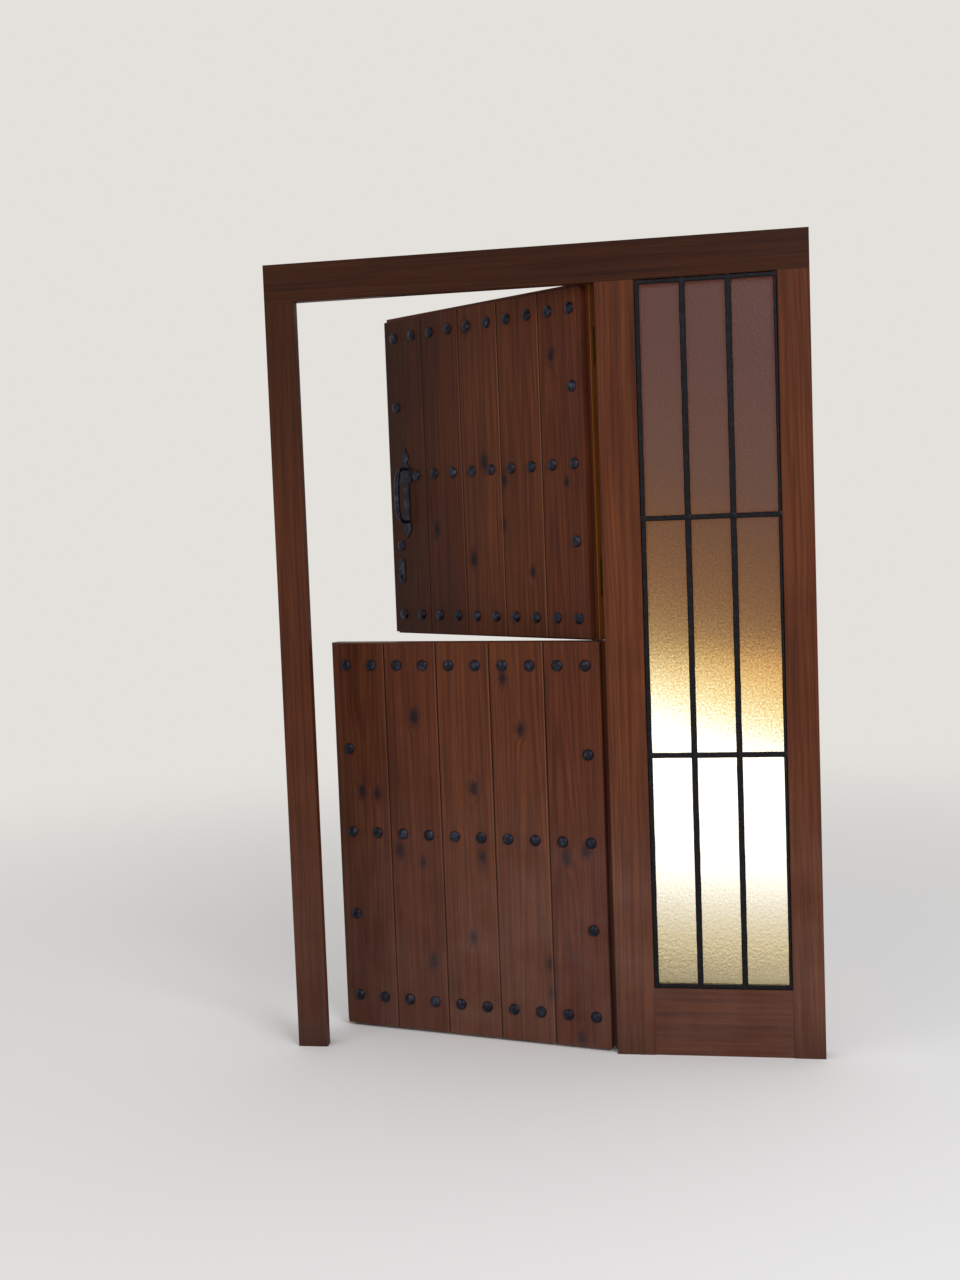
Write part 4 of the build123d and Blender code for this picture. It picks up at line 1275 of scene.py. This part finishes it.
def lay_floor():
    """The studio's floor, which isn't part of the door."""
    mesh = bmesh.new()
    bmesh.ops.create_grid(mesh, x_segments=1, y_segments=1, size=floor_half)
    data = bpy.data.meshes.new("studio_floor")
    mesh.to_mesh(data)
    mesh.free()
    material, tree, shader = start_material(
        "floor_matt_paper", Base_Color=linear(lit_paper), Roughness=0.9
    )
    place = add(tree, "TexCoord").outputs["Object"]
    away = add(tree, "VectorMath", place, operation="LENGTH").outputs["Value"]
    far = add(tree, "MapRange", away, fade_from, fade_to, 0.0, 1.0, **soft)
    glow = add(tree, "Emission", linear(paper), 1.0)
    both = add(tree, "MixShader", far, shader, glow)
    tree.links.new(both.outputs[0], tree.nodes["Material Output"].inputs["Surface"])
    data.materials.append(material)
    floor = bpy.data.objects.new("studio_floor", data)
    bpy.context.scene.collection.objects.link(floor)


lay_floor()
print("the floor fades out from", fade_from, "to", fade_to, "m")

# %% [markdown]
# ## The world
# The world lights the door evenly and faintly from all sides. The camera, mirrors and glass see the
# paper's tone instead, at full strength, so a pale background doesn't put more light on the door.

# %% A pale world
sky = "#f3f4f7"
sky_strength = 0.65


def light_world():
    """The even light all round, and the background that is seen."""
    world = bpy.data.worlds.new("studio_world")
    bpy.context.scene.world = world
    world.use_nodes = True
    tree = world.node_tree
    background = tree.nodes["Background"]
    background.inputs["Strength"].default_value = sky_strength
    background.inputs["Color"].default_value = linear(sky)
    seen = add(tree, "Background", linear(paper), 1.0)
    path = add(tree, "LightPath").outputs
    direct = add(tree, "Math", path["Is Camera Ray"], path["Is Glossy Ray"], operation="MAXIMUM")
    direct = add(tree, "Math", direct, path["Is Transmission Ray"], operation="MAXIMUM")
    both = add(tree, "MixShader", direct, background, seen)
    tree.links.new(both.outputs[0], tree.nodes["World Output"].inputs["Surface"])


light_world()
print("the world lights the door at", sky_strength)

# %% [markdown]
# ## The lamps
# One large soft lamp stands high on the street side and a weaker, warmer one across from it. A
# third, very weak one shines through the clear foot of the pane from behind.


# %% Three soft lamps
def soft_lamp(name, place, aim, size, power, colour, spread=180):
    """A square area lamp that points at a spot, with its spread in degrees."""
    lamp = bpy.data.lights.new(name, "AREA")
    lamp.size = size
    lamp.energy = power
    lamp.spread = math.radians(spread)
    lamp.color = linear(colour)[:3]
    made = bpy.data.objects.new(name, lamp)
    made.location = place
    made.rotation_euler = (Vector(aim) - Vector(place)).to_track_quat("-Z", "Y").to_euler()
    made.visible_camera = False
    bpy.context.scene.collection.objects.link(made)


door_middle = (cad_low + cad_high) / 2
key_place, fill_place = (2.6, -4.0, 3.6), (-3.4, -3.4, 2.2)
back_place, pane_foot = (0.2, 0.9, 0.52), (0.2, 0.0, 0.52)
soft_lamp("key_lamp", key_place, door_middle, size=2.4, power=120, colour="#f4f6ff")
soft_lamp("fill_lamp", fill_place, door_middle, size=2.4, power=22, colour="#fff4e6")
soft_lamp("back_lamp", back_place, pane_foot, size=1.0, power=0.4, colour="#fff1d6", spread=60)
print("lamps aim at", [round(c, 2) for c in door_middle])

# %% [markdown]
# ## The camera
# The camera stands a little right of the mullion and at eye height, as in the photo. Its place, its
# three angles and its lens were fitted to the corners of the frame and the rows of studs, so the
# door fills the picture as it does there.

# %% Stand the camera
camera_place = Vector((380.4, -4192.0, 1467.0)) * mm
camera_yaw, camera_pitch, camera_roll = 0.1845, -0.0739, -0.0377
camera_lens, camera_sensor = 43.475, 36.0


def stand_camera():
    """The camera at its place. Its angles are in radians, from looking level along +Y."""
    yaw = Matrix.Rotation(camera_yaw, 4, "Z")
    pitch = Matrix.Rotation(math.pi / 2 + camera_pitch, 4, "X")
    roll = Matrix.Rotation(camera_roll, 4, "Z")
    data = bpy.data.cameras.new("camera")
    data.lens = camera_lens
    data.sensor_width = camera_sensor
    made = bpy.data.objects.new("camera", data)
    made.matrix_world = Matrix.Translation(camera_place) @ yaw @ pitch @ roll
    bpy.context.scene.collection.objects.link(made)
    bpy.context.scene.camera = made


stand_camera()
bpy.context.scene.view_settings.view_transform = "Standard"
print("camera", [round(c, 2) for c in camera_place], "with a lens of", camera_lens, "mm")

# %% [markdown]
# ## Finishing
# The finished door must be as large as its measured solids. The last line updates the scene.

# %% Finish
bpy.context.view_layer.update()
